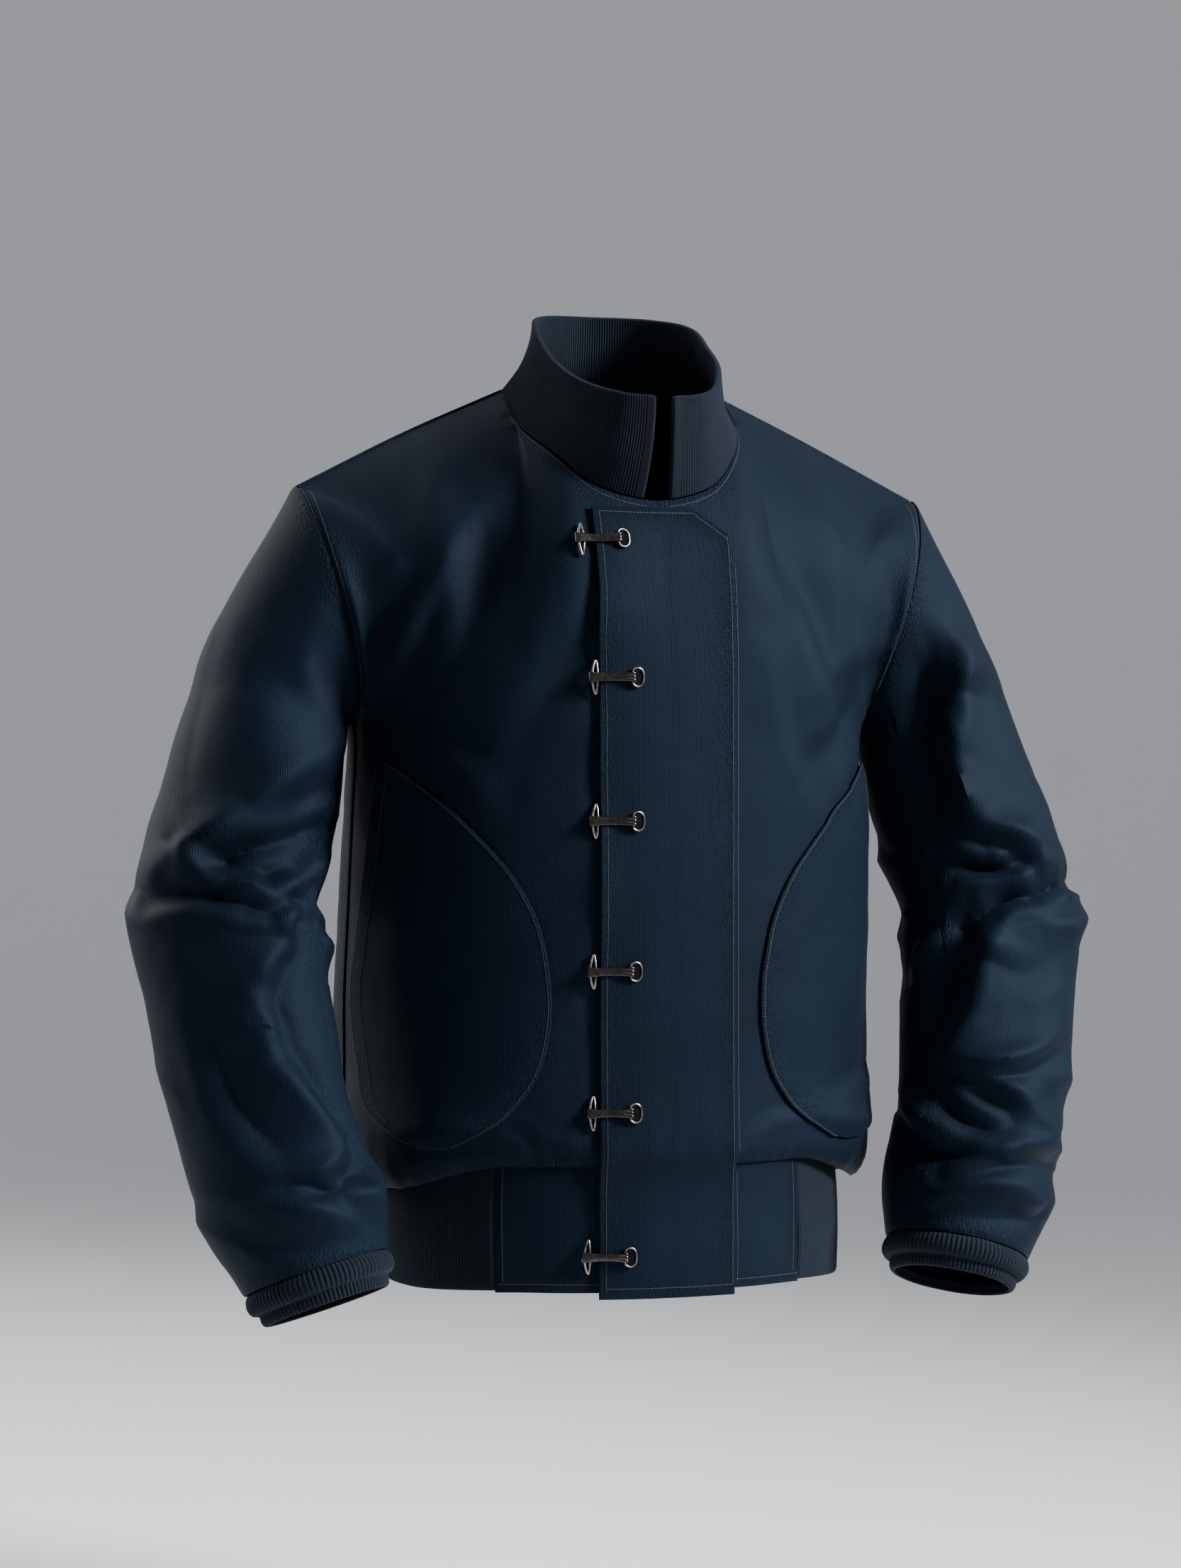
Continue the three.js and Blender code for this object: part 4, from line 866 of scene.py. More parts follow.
# %% The four sleeve pieces
ARM_STEPS, ARM_END = 25, len(ARM["x"]) - 1
SLEEVE_ROWS = with_edges(steps((-CAP_STEPS, 0, 30), (0, 3, 32), (3, ARM_END, 84)))
PIECES = {"top": (-36, 144), "under": (144, 324)}
SPARE = np.array([3.0, 6.0])
own = slice(len(SPARE), -len(SPARE))
counted = np.minimum(SLEEVE_ROWS, 0) + CAP_STEPS + np.maximum(SLEEVE_ROWS, 0) * ARM_STEPS / ARM_END
sleeve_fade = ease(counted / 4) * ease((CAP_STEPS + ARM_STEPS - counted) / 2)
above = np.clip(-SLEEVE_ROWS / CAP_STEPS, 0, 1)[:, None]
for side, word in ((-1, "right"), (1, "left")):
    centre = arm_frame(side, np.maximum(SLEEVE_ROWS, 0))[0] + above * np.array([-side * 22, 0, 70])
    for part, (first, last) in PIECES.items():
        # Two columns past each seam are worked out too, so that the creases cross it, and are then cut off
        wide = np.concatenate([first - SPARE[::-1], with_edges(np.linspace(first, last, 49)), last + SPARE])
        smooth = sleeve_points(side, wide, SLEEVE_ROWS)
        normals = grid_normals(smooth, centre[None])
        height = 1.4 * sleeve_height(side, wide[:, None], smooth[..., 2])
        height += ripples(smooth, 48.0, 5.0 * side, 19.0, 3.0 * side)
        creased = smooth + normals * (height * sleeve_fade)[..., None]
        normals = grid_normals(creased, centre[None])
        name = f"sleeve_{word}_{part}"
        cloth_panel(name + "_cloth", smooth[own], creased[own], normals[own], [name])

# %% [markdown]
# ## Rib knit
# Rib knit stands up in even wales. At the neck, waist and wrist it is folded double, so its free edge is a
# soft roll with a wale every couple of millimetres. Raised by a wave along the piece, the wales stay true
# when seen edge on, where a bump alone would show a smooth outline.

# %% A length of rib, folded double
def rib_wave(along, pitch):
    """1 on a wale's crown and 0 in the groove: a round crown over a narrow groove."""
    return np.abs(np.cos(np.pi * along / pitch)) ** 0.8


def even_steps(line, spacing):
    """Positions from 0 to 1 at which points are spacing apart along a line, and their lengths along it."""
    gone = length_along(line)
    count = int(round(gone[-1] / spacing))
    along = np.linspace(0, gone[-1], count + 1)
    return np.interp(along, gone, np.linspace(0, 1, len(line))), along


def rib_faces(outer, normals, wall, along, pitch, relief, plain, ends, rim):
    """plain: 1 where the wales fade out. ends and rim: soft thickness along the columns and over the rows."""
    wale = rib_wave(along, pitch)[:, None] * (1 - plain) * np.ones(outer.shape[1])
    thick = wall * ends[:, None] * rim[None, :]
    middle = outer - normals * (wall / 2)
    out = middle + normals * (thick / 2 + relief * (wale - 0.5) * ends[:, None])[..., None]
    back = middle - normals * (thick / 2 + relief * (wale - 0.5) * ends[:, None])[..., None]
    return out, back, wale


def knit_object(name, nodes, out, back, wale, along, ringed=False):
    obj, i, j, whole_j = strip_object(name, out, back, ringed)
    rows = out.shape[1]
    up = length_along(out[len(out) // 2])
    far = np.append(along, 2 * along[-1] - along[-2]) if ringed else along
    set_strip_uv(obj, np.stack([far[i], np.where(whole_j < rows, up[j], 2 * up[-1] - up[j])], -1) * MM)
    # The wales' crowns are passed on for the knit's painted highlight.
    crown = np.concatenate([wale, wale[:1]]) if ringed else wale
    vertex_value(obj, "rib_crown_highlight", crown[i, j])
    close_strip(obj, ringed)
    finish_piece(obj, nodes, RIB, smooth=75)


# %% The stand collar
COLLAR_WALL, COLLAR_PITCH, COLLAR_RELIEF, COLLAR_FRONT = 4.0, 2.0, 0.75, 9
FRONT_EDGE, BORDER, BORDER_RISE = 0.8, 5.0, 0.7
ROLL_ANGLES = np.radians([25, 50, 75])
dense = np.linspace(0, 6, 1201)


def collar_point(w, t, side):
    """w runs from the front edge (0) to the centre back (6), t up the collar."""
    start = COLLAR_FRONT / NECK_FRONT["x"][1]
    front_at = np.where(w < FRONT_EDGE, start + w / FRONT_EDGE * (FRONT_EDGE - start), np.minimum(w, 4))
    back_at = np.clip(6 - w, 0, 2)
    base = np.where((w <= 4)[..., None], place_on(NECK_FRONT, front_at), place_on(NECK_BACK, back_at))
    rim = place_on(COLLAR_RIM, np.minimum(w, 6))
    inward = 1 - (1 - t) ** 1.9
    share = np.stack([inward, inward, t], -1)
    return (base + (rim - base) * share) * np.array([side, 1, 1])


half_line = collar_point(dense, np.full(dense.shape, 0.45), 1)
whole_line = np.concatenate([half_line * [-1, 1, 1], half_line[-2::-1]])
at, along = even_steps(whole_line, COLLAR_PITCH / 4)
extra = np.array([0.12, 0.3])
along = np.unique(np.concatenate([along, extra, along[-1] - extra]))
at = np.interp(along, np.linspace(0, along[-1], len(at)), at)
levels = np.concatenate([np.linspace(0.012, 0.9, 17), [0.93, 0.95, 0.965, 0.974]])
w_grid, t_grid = np.meshgrid(12 * at, levels, indexing="ij")
outer = np.where((w_grid <= 6)[..., None], collar_point(np.minimum(w_grid, 6), t_grid, -1),
                 collar_point(np.minimum(12 - w_grid, 6), t_grid, 1))
sag = 1.6 * drift(outer, 34.0, 9.0) * np.minimum(t_grid * 3, 1)
normals = grid_normals(outer, np.array([0.0, -20, -20]))
outer = outer + normals * sag[..., None]
from_front = np.minimum(along, along[-1] - along)
border = 1 - ease((from_front - BORDER) / 1.2)[:, None]
ends = soft_wall(from_front, COLLAR_WALL) / COLLAR_WALL
out, back, wale = rib_faces(
    outer, normals, COLLAR_WALL, along, COLLAR_PITCH, COLLAR_RELIEF, border, ends, np.ones(len(levels)))
out = out + normals * (BORDER_RISE * border * ends[:, None])[..., None]

# %% Its rolled top edge: half a circle from the outer to the inner face
middle = (out[:, -1] + back[:, -1]) / 2
reach = np.linalg.norm(out[:, -1] - back[:, -1], axis=-1)[:, None] / 2
up, towards_out = unit(np.gradient(outer, axis=1)[:, -1]), unit(out[:, -1] - middle)


def rolled(face, away):
    """A face of the collar with its rows of the roll, which start in the direction away."""
    rows = [middle + (away * math.cos(a) + up * math.sin(a)) * reach for a in ROLL_ANGLES]
    return np.concatenate([face, np.stack(rows, 1)], axis=1)


out, back = rolled(out, towards_out), rolled(back, -towards_out)
# The rolled top edge keeps part of the painted crown highlight.
fading = np.repeat(wale[:, -1:], len(ROLL_ANGLES), axis=1) * 0.8 + 0.2
knit_object("collar_knit", ["collar_rib"], out, back, np.concatenate([wale, fading], axis=1), along)

# %% The waistband's rib, round the sides and back
BAND_SEAM = {-1: 43.0, 1: 38.5}
BAND_WALL, BAND_PITCH, BAND_RELIEF = 3.0, 2.6, 0.9
BAND_INSIDE = np.array([0.0, 16, -600])
to_back, to_front = np.linspace(BAND_SEAM[-1], 180, 800), 360 - np.linspace(180, BAND_SEAM[1], 800)[1:]
turn_line = np.concatenate([to_back, to_front])


def band_point(turn_round, at):
    """Once round the body: up to 180 on the wearer's right, past it on the left."""
    is_left = turn_round > 180
    turn = np.where(is_left, 360 - turn_round, turn_round)
    p = ring_point(BAND, 1, turn, at)
    return p * np.stack([np.where(is_left, 1, -1), np.ones_like(turn), np.ones_like(turn)], -1)


at, along = even_steps(band_point(turn_line, np.full(turn_line.shape, 1.5)), BAND_PITCH / 4)
turns = np.interp(at * (len(turn_line) - 1), np.arange(len(turn_line)), turn_line)
levels = np.concatenate([[0.05, 0.075, 0.12], np.linspace(0.2, 3, 16)])
rim = np.concatenate([[0.3, 0.66, 0.9], np.ones(16)])
turn_grid, level_grid = np.meshgrid(turns, levels, indexing="ij")
outer = band_point(turn_grid, level_grid)
normals = grid_normals(outer, BAND_INSIDE)
outer = outer + normals * (1.2 * drift(outer, 45.0, 4.0))[..., None]
border = 1 - ease((np.minimum(along, along[-1] - along) - 0.6) / 0.8)[:, None]
out, back, wale = rib_faces(
    outer, normals, BAND_WALL, along, BAND_PITCH, BAND_RELIEF, border, np.ones(len(along)), rim)
for face in (out, back):
    face[[0, -1]] += SEAM_GAP * unit(face[[1, -2]] - face[[0, -1]])
knit_object("waistband_knit", ["waistband_rib"], out, back, wale, along)

# %% The cuffs
CUFF_WALL, CUFF_PITCH, CUFF_RELIEF, WALES, POINTS_A_WALE, CUFF_LEVELS = 3.0, 3.4, 1.1, 92, 6, 22
profile = np.concatenate([np.linspace(0, 5.6, CUFF_LEVELS), [5.75, 5.9, 6]])
rim = np.concatenate([np.ones(CUFF_LEVELS), [0.86, 0.6, 0.2]])
distance, radius = through(CUFF, "along", profile), through(CUFF, "radius", profile)
count = WALES * POINTS_A_WALE
angle = np.linspace(0, 2 * np.pi, count, endpoint=False)
along = np.arange(count) * CUFF_PITCH / POINTS_A_WALE
for side, word in ((-1, "right"), (1, "left")):
    centre, down, outward, frontward = arm_frame(side, float(ARM_END))
    around = outward[None] * np.cos(angle)[:, None] + frontward[None] * np.sin(angle)[:, None]
    outer = centre + down * distance[None, :, None] + around[:, None] * radius[None, :, None]
    normals = np.broadcast_to(around[:, None], outer.shape)
    outer = outer + normals * drift(outer, 22.0, 2.0 * side)[..., None]
    out, back, wale = rib_faces(
        outer, normals, CUFF_WALL, along, CUFF_PITCH, CUFF_RELIEF, np.zeros((count, 1)), np.ones(count), rim)
    knit_object(f"cuff_{word}_knit", [f"cuff_{word}"], out, back, wale, along, ringed=True)

# %% [markdown]
# ## Waistband fronts
# The waistband is woven cloth in front, where the placket is sewn to it, and rib everywhere else.

# %% The woven ends of the waistband
BAND_ROWS = with_edges(np.linspace(0, 3, 15))
for side, word in ((-1, "right"), (1, "left")):
    turns = with_edges(np.linspace(0, BAND_SEAM[side], 26))
    turn_grid, level_grid = np.meshgrid(turns, BAND_ROWS, indexing="ij")
    smooth = ring_point(BAND, side, turn_grid, level_grid)
    normals = grid_normals(smooth, BAND_INSIDE)
    creased = smooth + normals * (0.9 * drift(smooth, 38.0, 7.0 + side))[..., None]
    cloth_panel(f"waistband_front_{word}_cloth", smooth, creased, normals, [f"waistband_front_{word}"])

# %% [markdown]
# ## The placket flap
# The flap is a stiff doubled strip that lies over the opening and bridges the step at the waistband. It is
# laid on what is under it: rays find the fronts, the found depth is smoothed as stiff cloth would, and the
# strip is moved out. Between the hooks its free edge stands off a little.

# %% What lies under the flap
def surface_tree(*grids):
    corners, faces = [], []
    for grid in grids:
        first, (columns, rows) = len(corners), grid.shape[:2]
        corners.extend(map(tuple, grid.reshape(-1, 3)))
        for i in range(columns - 1):
            for corner in range(first + i * rows, first + (i + 1) * rows - 1):
                faces.append((corner, corner + rows, corner + rows + 1, corner + 1))
    return BVHTree.FromPolygons(corners, faces)


under = surface_tree(*(sheets[name + "_cloth"][0] for name in (
    "front_right", "front_left", "waistband_front_right", "waistband_front_left")))
STEP_X, STEP_Z, IN_FRONT = 2, 3, -400
FIELD_X, FIELD_Z = np.linspace(-60, 60, 61), np.linspace(-656, -80, 193)


def seen_from_front(x, z):
    """The place and outward normal that a ray from the front meets, or None twice."""
    return under.ray_cast(Vector((x, IN_FRONT, z)), Vector((0, 1, 0)))[:2]


def depth_seen(x, z):
    for nudge in (0.0, 0.6, -0.6, 1.5):
        place, _ = seen_from_front(x + nudge, z + abs(nudge))
        if place is not None:
            return place.y
    return np.nan


field = np.array([[depth_seen(x, z) for z in FIELD_Z] for x in FIELD_X])
for line in field:
    known = ~np.isnan(line)
    line[~known] = np.interp(FIELD_Z[~known], FIELD_Z[known], line[known])


def smoothed(values, reach, spacing, axis):
    count = int(3 * reach / spacing)
    weights = np.exp(-0.5 * (np.arange(-count, count + 1) * spacing / reach) ** 2)
    padded = np.pad(values, [(count, count) if k == axis else (0, 0) for k in range(2)], mode="edge")
    return np.apply_along_axis(lambda v: np.convolve(v, weights / weights.sum(), mode="valid"), axis, padded)


stiff = smoothed(smoothed(field, 12, STEP_Z, 1), 6, STEP_X, 0)
stiff = smoothed(np.minimum(stiff, field), 5, STEP_Z, 1)
stiff = np.minimum(stiff, field + 0.2)


def looked_up(x, z):
    """The depth of the stiff surface at x and z, between the places of the field."""
    i = np.clip((x - FIELD_X[0]) / STEP_X, 0, len(FIELD_X) - 1.001)
    j = np.clip((z - FIELD_Z[0]) / STEP_Z, 0, len(FIELD_Z) - 1.001)
    i0, j0 = np.floor(i).astype(int), np.floor(j).astype(int)
    s, t = i - i0, j - j0
    return ((1 - s) * (1 - t) * stiff[i0, j0] + s * (1 - t) * stiff[i0 + 1, j0]
            + (1 - s) * t * stiff[i0, j0 + 1] + s * t * stiff[i0 + 1, j0 + 1])


print("depth under the flap, mm:", round(float(field.min())), "to", round(float(field.max())))

# %% The flap's sizes and its surface
FLAP_HALF, FLAP_TOP, FLAP_BOTTOM, FLAP_WALL = 49.5, -92, -647, 2.6
CHAMFER, CHAMFER_START = 19.8, 23.5
HOOKS = table("z shift", [(-116, 6.5), (-212.5, 0), (-313, 0), (-418, 1.5), (-517, 2), (-617, 5)])
LAID, UPPER_LIFT, LOWER_LIFT, HELD_FROM, FREE_WIDTH = 1.1, 3.5, 1.2, 20, 70


def flap_lift(x, z):
    """How far the free edge stands off between the hooks, most of all below the first."""
    free = np.clip((HELD_FROM - x) / FREE_WIDTH, 0, 1) ** 2
    first, second, last = HOOKS["z"][0], HOOKS["z"][1], HOOKS["z"][-1]
    upper = np.sin(np.pi * np.clip((first - z) / (first - second), 0, 1)) ** 2
    others = np.where(z < second, np.sin(np.pi * (second - z) / ((second - last) / 4)) ** 2, 0)
    return free * (UPPER_LIFT * upper + LOWER_LIFT * others)


def flap_surface(x, z):
    """The flap's inner face at x and z, with its outward direction."""
    def at(x, z):
        return np.stack([x, looked_up(x, z), z], -1)
    across, along = at(x + 2.0, z) - at(x - 2.0, z), at(x, z + 2.0) - at(x, z - 2.0)
    outward = unit(np.cross(across, along))
    outward = outward * np.where(outward[..., 1:2] > 0, -1, 1)
    wave = 0.5 * drift(at(x, z), 30.0, 12.0)
    return at(x, z) + outward * (LAID + flap_lift(x, z) + np.abs(wave))[..., None], outward


EDGE_MM = np.array([0, 0.1, 0.35, 0.8, 1.3, 2.2, 4.0])
EDGE_WIDTH = 6


def between_edges(low, high, spacing, stops=()):
    """Positions that are close together at both edges and spacing apart between them."""
    count = max(int((high - low - 2 * EDGE_WIDTH) / spacing), 2)
    middle = np.linspace(low + EDGE_WIDTH, high - EDGE_WIDTH, count)
    return np.unique(np.concatenate([low + EDGE_MM, middle, high - EDGE_MM, stops]))


flap_x = between_edges(-FLAP_HALF, FLAP_HALF, 4.0, [CHAMFER_START])
length = FLAP_TOP - FLAP_BOTTOM
flap_share = between_edges(0, length, 4.6) / length
top = FLAP_TOP - CHAMFER * np.clip((flap_x - CHAMFER_START) / (FLAP_HALF - CHAMFER_START), 0, 1)
flap_z = FLAP_BOTTOM + (top[:, None] - FLAP_BOTTOM) * flap_share[None, :]
x_grid = np.broadcast_to(flap_x[:, None], flap_z.shape)
laid, outward = flap_surface(x_grid, flap_z)
drawn = np.stack([x_grid, 0 * flap_z, flap_z], -1)
edge = distance_to(drawn, outline_of(drawn))


def doubled_cloth(name, nodes, inner_face, outward, wall, edge, across, along, flat):
    """A doubled cloth piece with rounded edges: the placket or a pocket."""
    thick = soft_wall(edge, wall)[..., None]
    middle = inner_face + outward * (wall / 2)
    out, back = middle + outward * thick / 2, middle - outward * thick / 2
    obj, i, j, _ = strip_object(name, out, back)
    set_strip_uv(obj, np.stack([across[i, j], along[i, j]], -1) * MM)
    vertex_value(obj, "from_edge", edge[i, j])
    close_strip(obj)
    finish_piece(obj, nodes, CLOTH)
    sheets[name] = (out, outward)
    print(f"{name}: cut {flat[0] * 1000:.0f} x {flat[1] * 1000:.0f} mm, doubled")


doubled_cloth("placket_flap_cloth", ["placket_flap"], laid, outward, FLAP_WALL, edge, x_grid, flap_z,
              (2 * FLAP_HALF * MM, length * MM))

# %% [markdown]
# ## Half-moon pockets
# Each pocket is a patch with a straight mouth at the side and a long curved edge. It is laid on the front
# that carries it, found again by how far round the body and how high each point is, and its mouth stands
# off a little.

# %% The pockets
POCKET = table("height mouth curve", [
    (-271, 72.5, 70.5), (-283, 73.5, 61), (-300, 74.5, 50), (-318, 75.5, 42.5), (-348, 77, 33),
    (-380, 79, 27), (-410, 80.5, 24.5), (-440, 81.5, 23.5), (-466, 80.5, 24.2), (-492, 77.5, 26.5),
    (-511, 75, 30.5), (-524, 70.5, 34.5), (-534.5, 62, 41), (-543, 54, 47)])
POCKET_GAP, POCKET_WALL, LEFT_REACH, POCKET_FLAT = 1.2, 1.6, 3.5, (0.176, 0.272)
ABOVE_LIP, MM_A_DEGREE, CURVE_TURN = 2.4, 3.3, 24
MOUTH_STAND, MOUTH_REACH, MIDDLE_STAND = 1.8, 16, 0.7


def on_front(side, name, turn, z):
    """A place and its outward direction on a front, at a turn round the body and a height."""
    points, normals = sheets[name]
    turns = front_turns[side]
    first = int(np.searchsorted(BODY_ROWS, ABOVE_LIP))
    found, directions = np.empty((*turn.shape, 3)), np.empty((*turn.shape, 3))
    for index in np.ndindex(turn.shape):
        i = np.interp(turn[index], turns, np.arange(len(turns)))
        i0 = min(int(i), len(turns) - 2)
        s = i - i0
        column = points[i0] * (1 - s) + points[i0 + 1] * s
        facing = normals[i0] * (1 - s) + normals[i0 + 1] * s
        j = np.interp(z[index], column[first:, 2], np.arange(first, len(column)))
        j0 = min(int(j), len(column) - 2)
        found[index] = column[j0] * (1 - (j - j0)) + column[j0 + 1] * (j - j0)
        directions[index] = facing[j0]
    return found, unit(directions)


pocket_rows = np.array([0, 0.06, 0.2, 0.45, *np.linspace(0.7, 12.3, 44), 12.55, 12.8, 12.94, 13])
pocket_shares = np.array([0, 0.002, 0.006, 0.013, 0.022, 0.04, *np.linspace(0.07, 0.93, 24), 0.96, 0.978,
                          0.987, 0.994, 0.998, 1])
tall = np.sin(np.pi * np.linspace(0, 1, len(pocket_rows)))[None, :]
height, mouth = through(POCKET, "height", pocket_rows), through(POCKET, "mouth", pocket_rows)
for side, word, reach in ((-1, "right", 0.0), (1, "left", LEFT_REACH)):
    curve = through(POCKET, "curve", pocket_rows) - reach
    turn = curve[None, :] + (mouth - curve)[None, :] * pocket_shares[:, None]
    z_grid = np.broadcast_to(height[None, :], turn.shape)
    places, outward = on_front(side, f"front_{word}_cloth", turn, z_grid)
    edge = distance_to(places, outline_of(places))
    from_mouth = distance_to(places, places[-1])
    stand = MOUTH_STAND * np.exp(-(from_mouth / MOUTH_REACH) ** 2) * tall
    stand = stand + MIDDLE_STAND * np.sin(np.pi * pocket_shares)[:, None] * tall
    places = places + outward * (POCKET_GAP + stand)[..., None]
    doubled_cloth(f"pocket_{word}_cloth", [f"pocket_{word}"], places, outward, POCKET_WALL, edge,
                  MM_A_DEGREE * (turn - CURVE_TURN), z_grid, POCKET_FLAT)

# %% [markdown]
# ## Topstitching
# Seams on a work jacket are topstitched in heavy thread, about four stitches to a centimetre. One stitch is
# a small stretched ball beside a flat, nearly black one: painted shade for its needle hole. Copies of the two
# are laid end to end along rows at a set distance from each seam, and each group of rows is one mesh. A bump
# could not catch the light at the stitches' ends.

# %% One stitch, and rows of it
PITCH, STITCH_LIFT, STITCH_REACH = 2.6, 0.12, 0.8
bpy.ops.object.select_all(action="DESELECT")
bpy.ops.mesh.primitive_uv_sphere_add(segments=6, ring_count=4, radius=1)
pattern = bpy.context.object
BALL = np.array([v.co for v in pattern.data.vertices])[:, [2, 0, 1]]
BALL_FACES = [tuple(p.vertices) for p in pattern.data.polygons]
bpy.ops.object.delete()
# The flat second ball, between stitches, is coloured nearly black as the painted shade of the needle hole.
STITCH = np.concatenate([BALL * [0.92, 0.36, 0.32], BALL * [0.46, 0.52, 0.13] + [PITCH / 2, 0, -0.04]])
STITCH_FACES = BALL_FACES + [tuple(k + len(BALL) for k in face) for face in BALL_FACES]


def inset(points, normals, edge, distance):
    """A line at a distance, in millimetres, inside one edge of a sheet."""
    if edge in ("first column", "last column"):
        points, normals = points.transpose(1, 0, 2), normals.transpose(1, 0, 2)
    if edge in ("last row", "last column"):
        points, normals = points[:, ::-1], normals[:, ::-1]
    line, facing = [], []
    for p, n in zip(points, normals):
        j = np.interp(distance, length_along(p), np.arange(len(p)))
        j0 = min(int(j), len(p) - 2)
        line.append(p[j0] * (1 - (j - j0)) + p[j0 + 1] * (j - j0))
        facing.append(n[j0])
    return np.array(line), unit(np.array(facing))


def stitch_places(line, facing, start=0.0, end=0.0):
    """Middles, directions and normals of the stitches along a line, with start and end millimetres free."""
    gone = length_along(line)
    at = np.arange(start + PITCH / 2, gone[-1] - end, PITCH)
    ahead = on_line(at + STITCH_REACH, gone, line) - on_line(at - STITCH_REACH, gone, line)
    return on_line(at, gone, line), unit(ahead), unit(on_line(at, gone, facing))


def sewn(piece, edge, distance, first=None, last=None, start=0.0, end=0.0):
    """One row of stitches inside an edge of a piece, or along the part of it from first to last."""
    line, facing = inset(*sheets[piece], edge, distance)
    return stitch_places(line[first:last], facing[first:last], start, end)


def stitch_mesh(name, rows):
    middle, along, normal = (np.concatenate(parts)[:, None] for parts in zip(*rows))
    across = np.cross(normal, along)
    x, y, z = (STITCH[None, :, k:k + 1] for k in range(3))
    places = (middle + normal * STITCH_LIFT + x * along + y * across + z * normal).reshape(-1, 3)
    starts = range(0, len(places), len(STITCH))
    faces = [tuple(first + k for k in face) for first in starts for face in STITCH_FACES]
    mesh = bpy.data.meshes.new(name)
    mesh.from_pydata((places * MM).tolist(), [], faces)
    obj = bpy.data.objects.new(name, mesh)
    bpy.context.scene.collection.objects.link(obj)
    # Marks the flat balls for the painted needle-hole shade.
    vertex_value(obj, "needle_hole_shade", np.tile(np.repeat([0.0, 1.0], len(BALL)), len(starts)))
    finish_piece(obj, [], THREAD)
    print(f"{name}: {len(starts)} stitches")


# %% Rows on the body: armholes, neck, shoulders, side seams and waistband
DOUBLE_ROW = (1.8, 11.0)
rows = []
front_tip, back_tip = int(np.searchsorted(FRONT_COLUMNS, TIP)), int(np.searchsorted(half, BACK_TIP))
front_neck = int(np.searchsorted(FRONT_COLUMNS, NECK_END))
for word in ("right", "left"):
    front, band = f"front_{word}_cloth", f"waistband_front_{word}_cloth"
    rows += [sewn(front, "last row", distance, front_tip) for distance in DOUBLE_ROW]
    rows.append(sewn(front, "last row", 5.7, 0, front_neck + 1, start=8))
    rows.append(sewn(band, "first row", 6.0, start=2, end=2))
    rows.append(sewn(band, "last column", 6.0, start=7, end=4))
last_column = len(back_columns) - 1
middle = last_column // 2
for first, last in ((0, last_column - back_tip - middle), (middle + back_tip, None)):
    rows += [sewn("back_cloth", "last row", distance, first, last) for distance in DOUBLE_ROW]
rows.append(sewn("back_cloth", "last row", 4.0, middle - back_tip, middle + back_tip + 1))
for edge in ("first column", "last column"):
    rows += [sewn("back_cloth", edge, distance, start=14) for distance in (2.2, 8.5)]
stitch_mesh("stitches_body", rows)

# %% Rows on the sleeves
rows = []
for word in ("right", "left"):
    for edge in ("first column", "last column"):
        rows.append(sewn(f"sleeve_{word}_top_cloth", edge, 2.2, start=3, end=3))
    rows += [sewn(f"sleeve_{word}_{part}_cloth", "last row", 7.0) for part in PIECES]
stitch_mesh("stitches_sleeves", rows)

# %% Rows on the flap, beside it and on the pockets
FLAP_ROWS = (("first column", 5.6, 5.6, 5.6), ("last column", 3.2, 8, 3), ("last row", 5.6, 5.6, 3),
             ("first row", 8.2, 5.6, 3))
BESIDE_X, WAIST_SEAM = 53.0, -555
rows = [sewn("placket_flap_cloth", edge, distance, start=start, end=end)
        for edge, distance, start, end in FLAP_ROWS]
beside = np.linspace(-640, -132, 170)
for heights in (beside[beside < WAIST_SEAM - 5], beside[beside > WAIST_SEAM + 7]):
    hits = [seen_from_front(BESIDE_X, z) for z in heights]
    hits = [hit for hit in hits if hit[0] is not None]
    line = np.array([tuple(place) for place, _ in hits])
    facing = np.array([tuple(normal if normal.y < 0 else -normal) for _, normal in hits])
    rows.append(stitch_places(line, facing))
for word in ("right", "left"):
    pocket = f"pocket_{word}_cloth"
    rows.append(sewn(pocket, "first column", 3.0, start=6, end=6))
    rows.append(sewn(pocket, "last column", 15.0, 6, -8))
    rows.append(sewn(pocket, "last column", 1.6, 3, -3))
stitch_mesh("stitches_front", rows)

# %% [markdown]
# ## Clasps
# A deck jacket closes with bent hooks: a strap of metal curls over a wire eye on one front, runs over the
# flap and ends round the bar of a D-shaped ring that is sewn to the flap. A nearly black plate inside the
# ring paints the shade there. The four forms are modelled once, in a frame that has x across, y off the flap
# and z down, and six copies are laid on the flap's face.

# %% Wire and strap, drawn once
EYE = dict(x=-16.3, lift=-1.9, half_width=2.0, half_height=11.7, bow=2.2)
BAR_X, BAR_LIFT = 9.4, 2.7
RING_HEIGHT, RING_DEPTH, RING_DROP = 6.6, 8.0, 2.1
STRAP_WALL, STRAP_HALF, EYE_CURL, BAR_CURL = 1.2, 3.2, 2.15, 1.85
WIRE_SIDES, RING_WIRE_RADIUS, EYE_WIRE_RADIUS, EYE_WIRE_TAPER = 12, 0.72, 0.85, 0.12


def closed_curve(points, count):
    """A smooth closed curve through a few points."""
    rows = dict(zip("xyz", np.array(points, float).T))
    return place_on(rows, np.linspace(0, len(points), count, endpoint=False), True)


def wire_rings(loop, plane, radius):
    along = unit(np.roll(loop, -1, 0) - np.roll(loop, 1, 0))
    across = unit(np.cross(along, plane))[:, None]
    angle = np.linspace(0, 2 * np.pi, WIRE_SIDES, endpoint=False)[None, :, None]
    radius = np.broadcast_to(radius, (len(loop),))[:, None, None]
    return loop[:, None] + radius * (across * np.cos(angle) + plane * np.sin(angle))


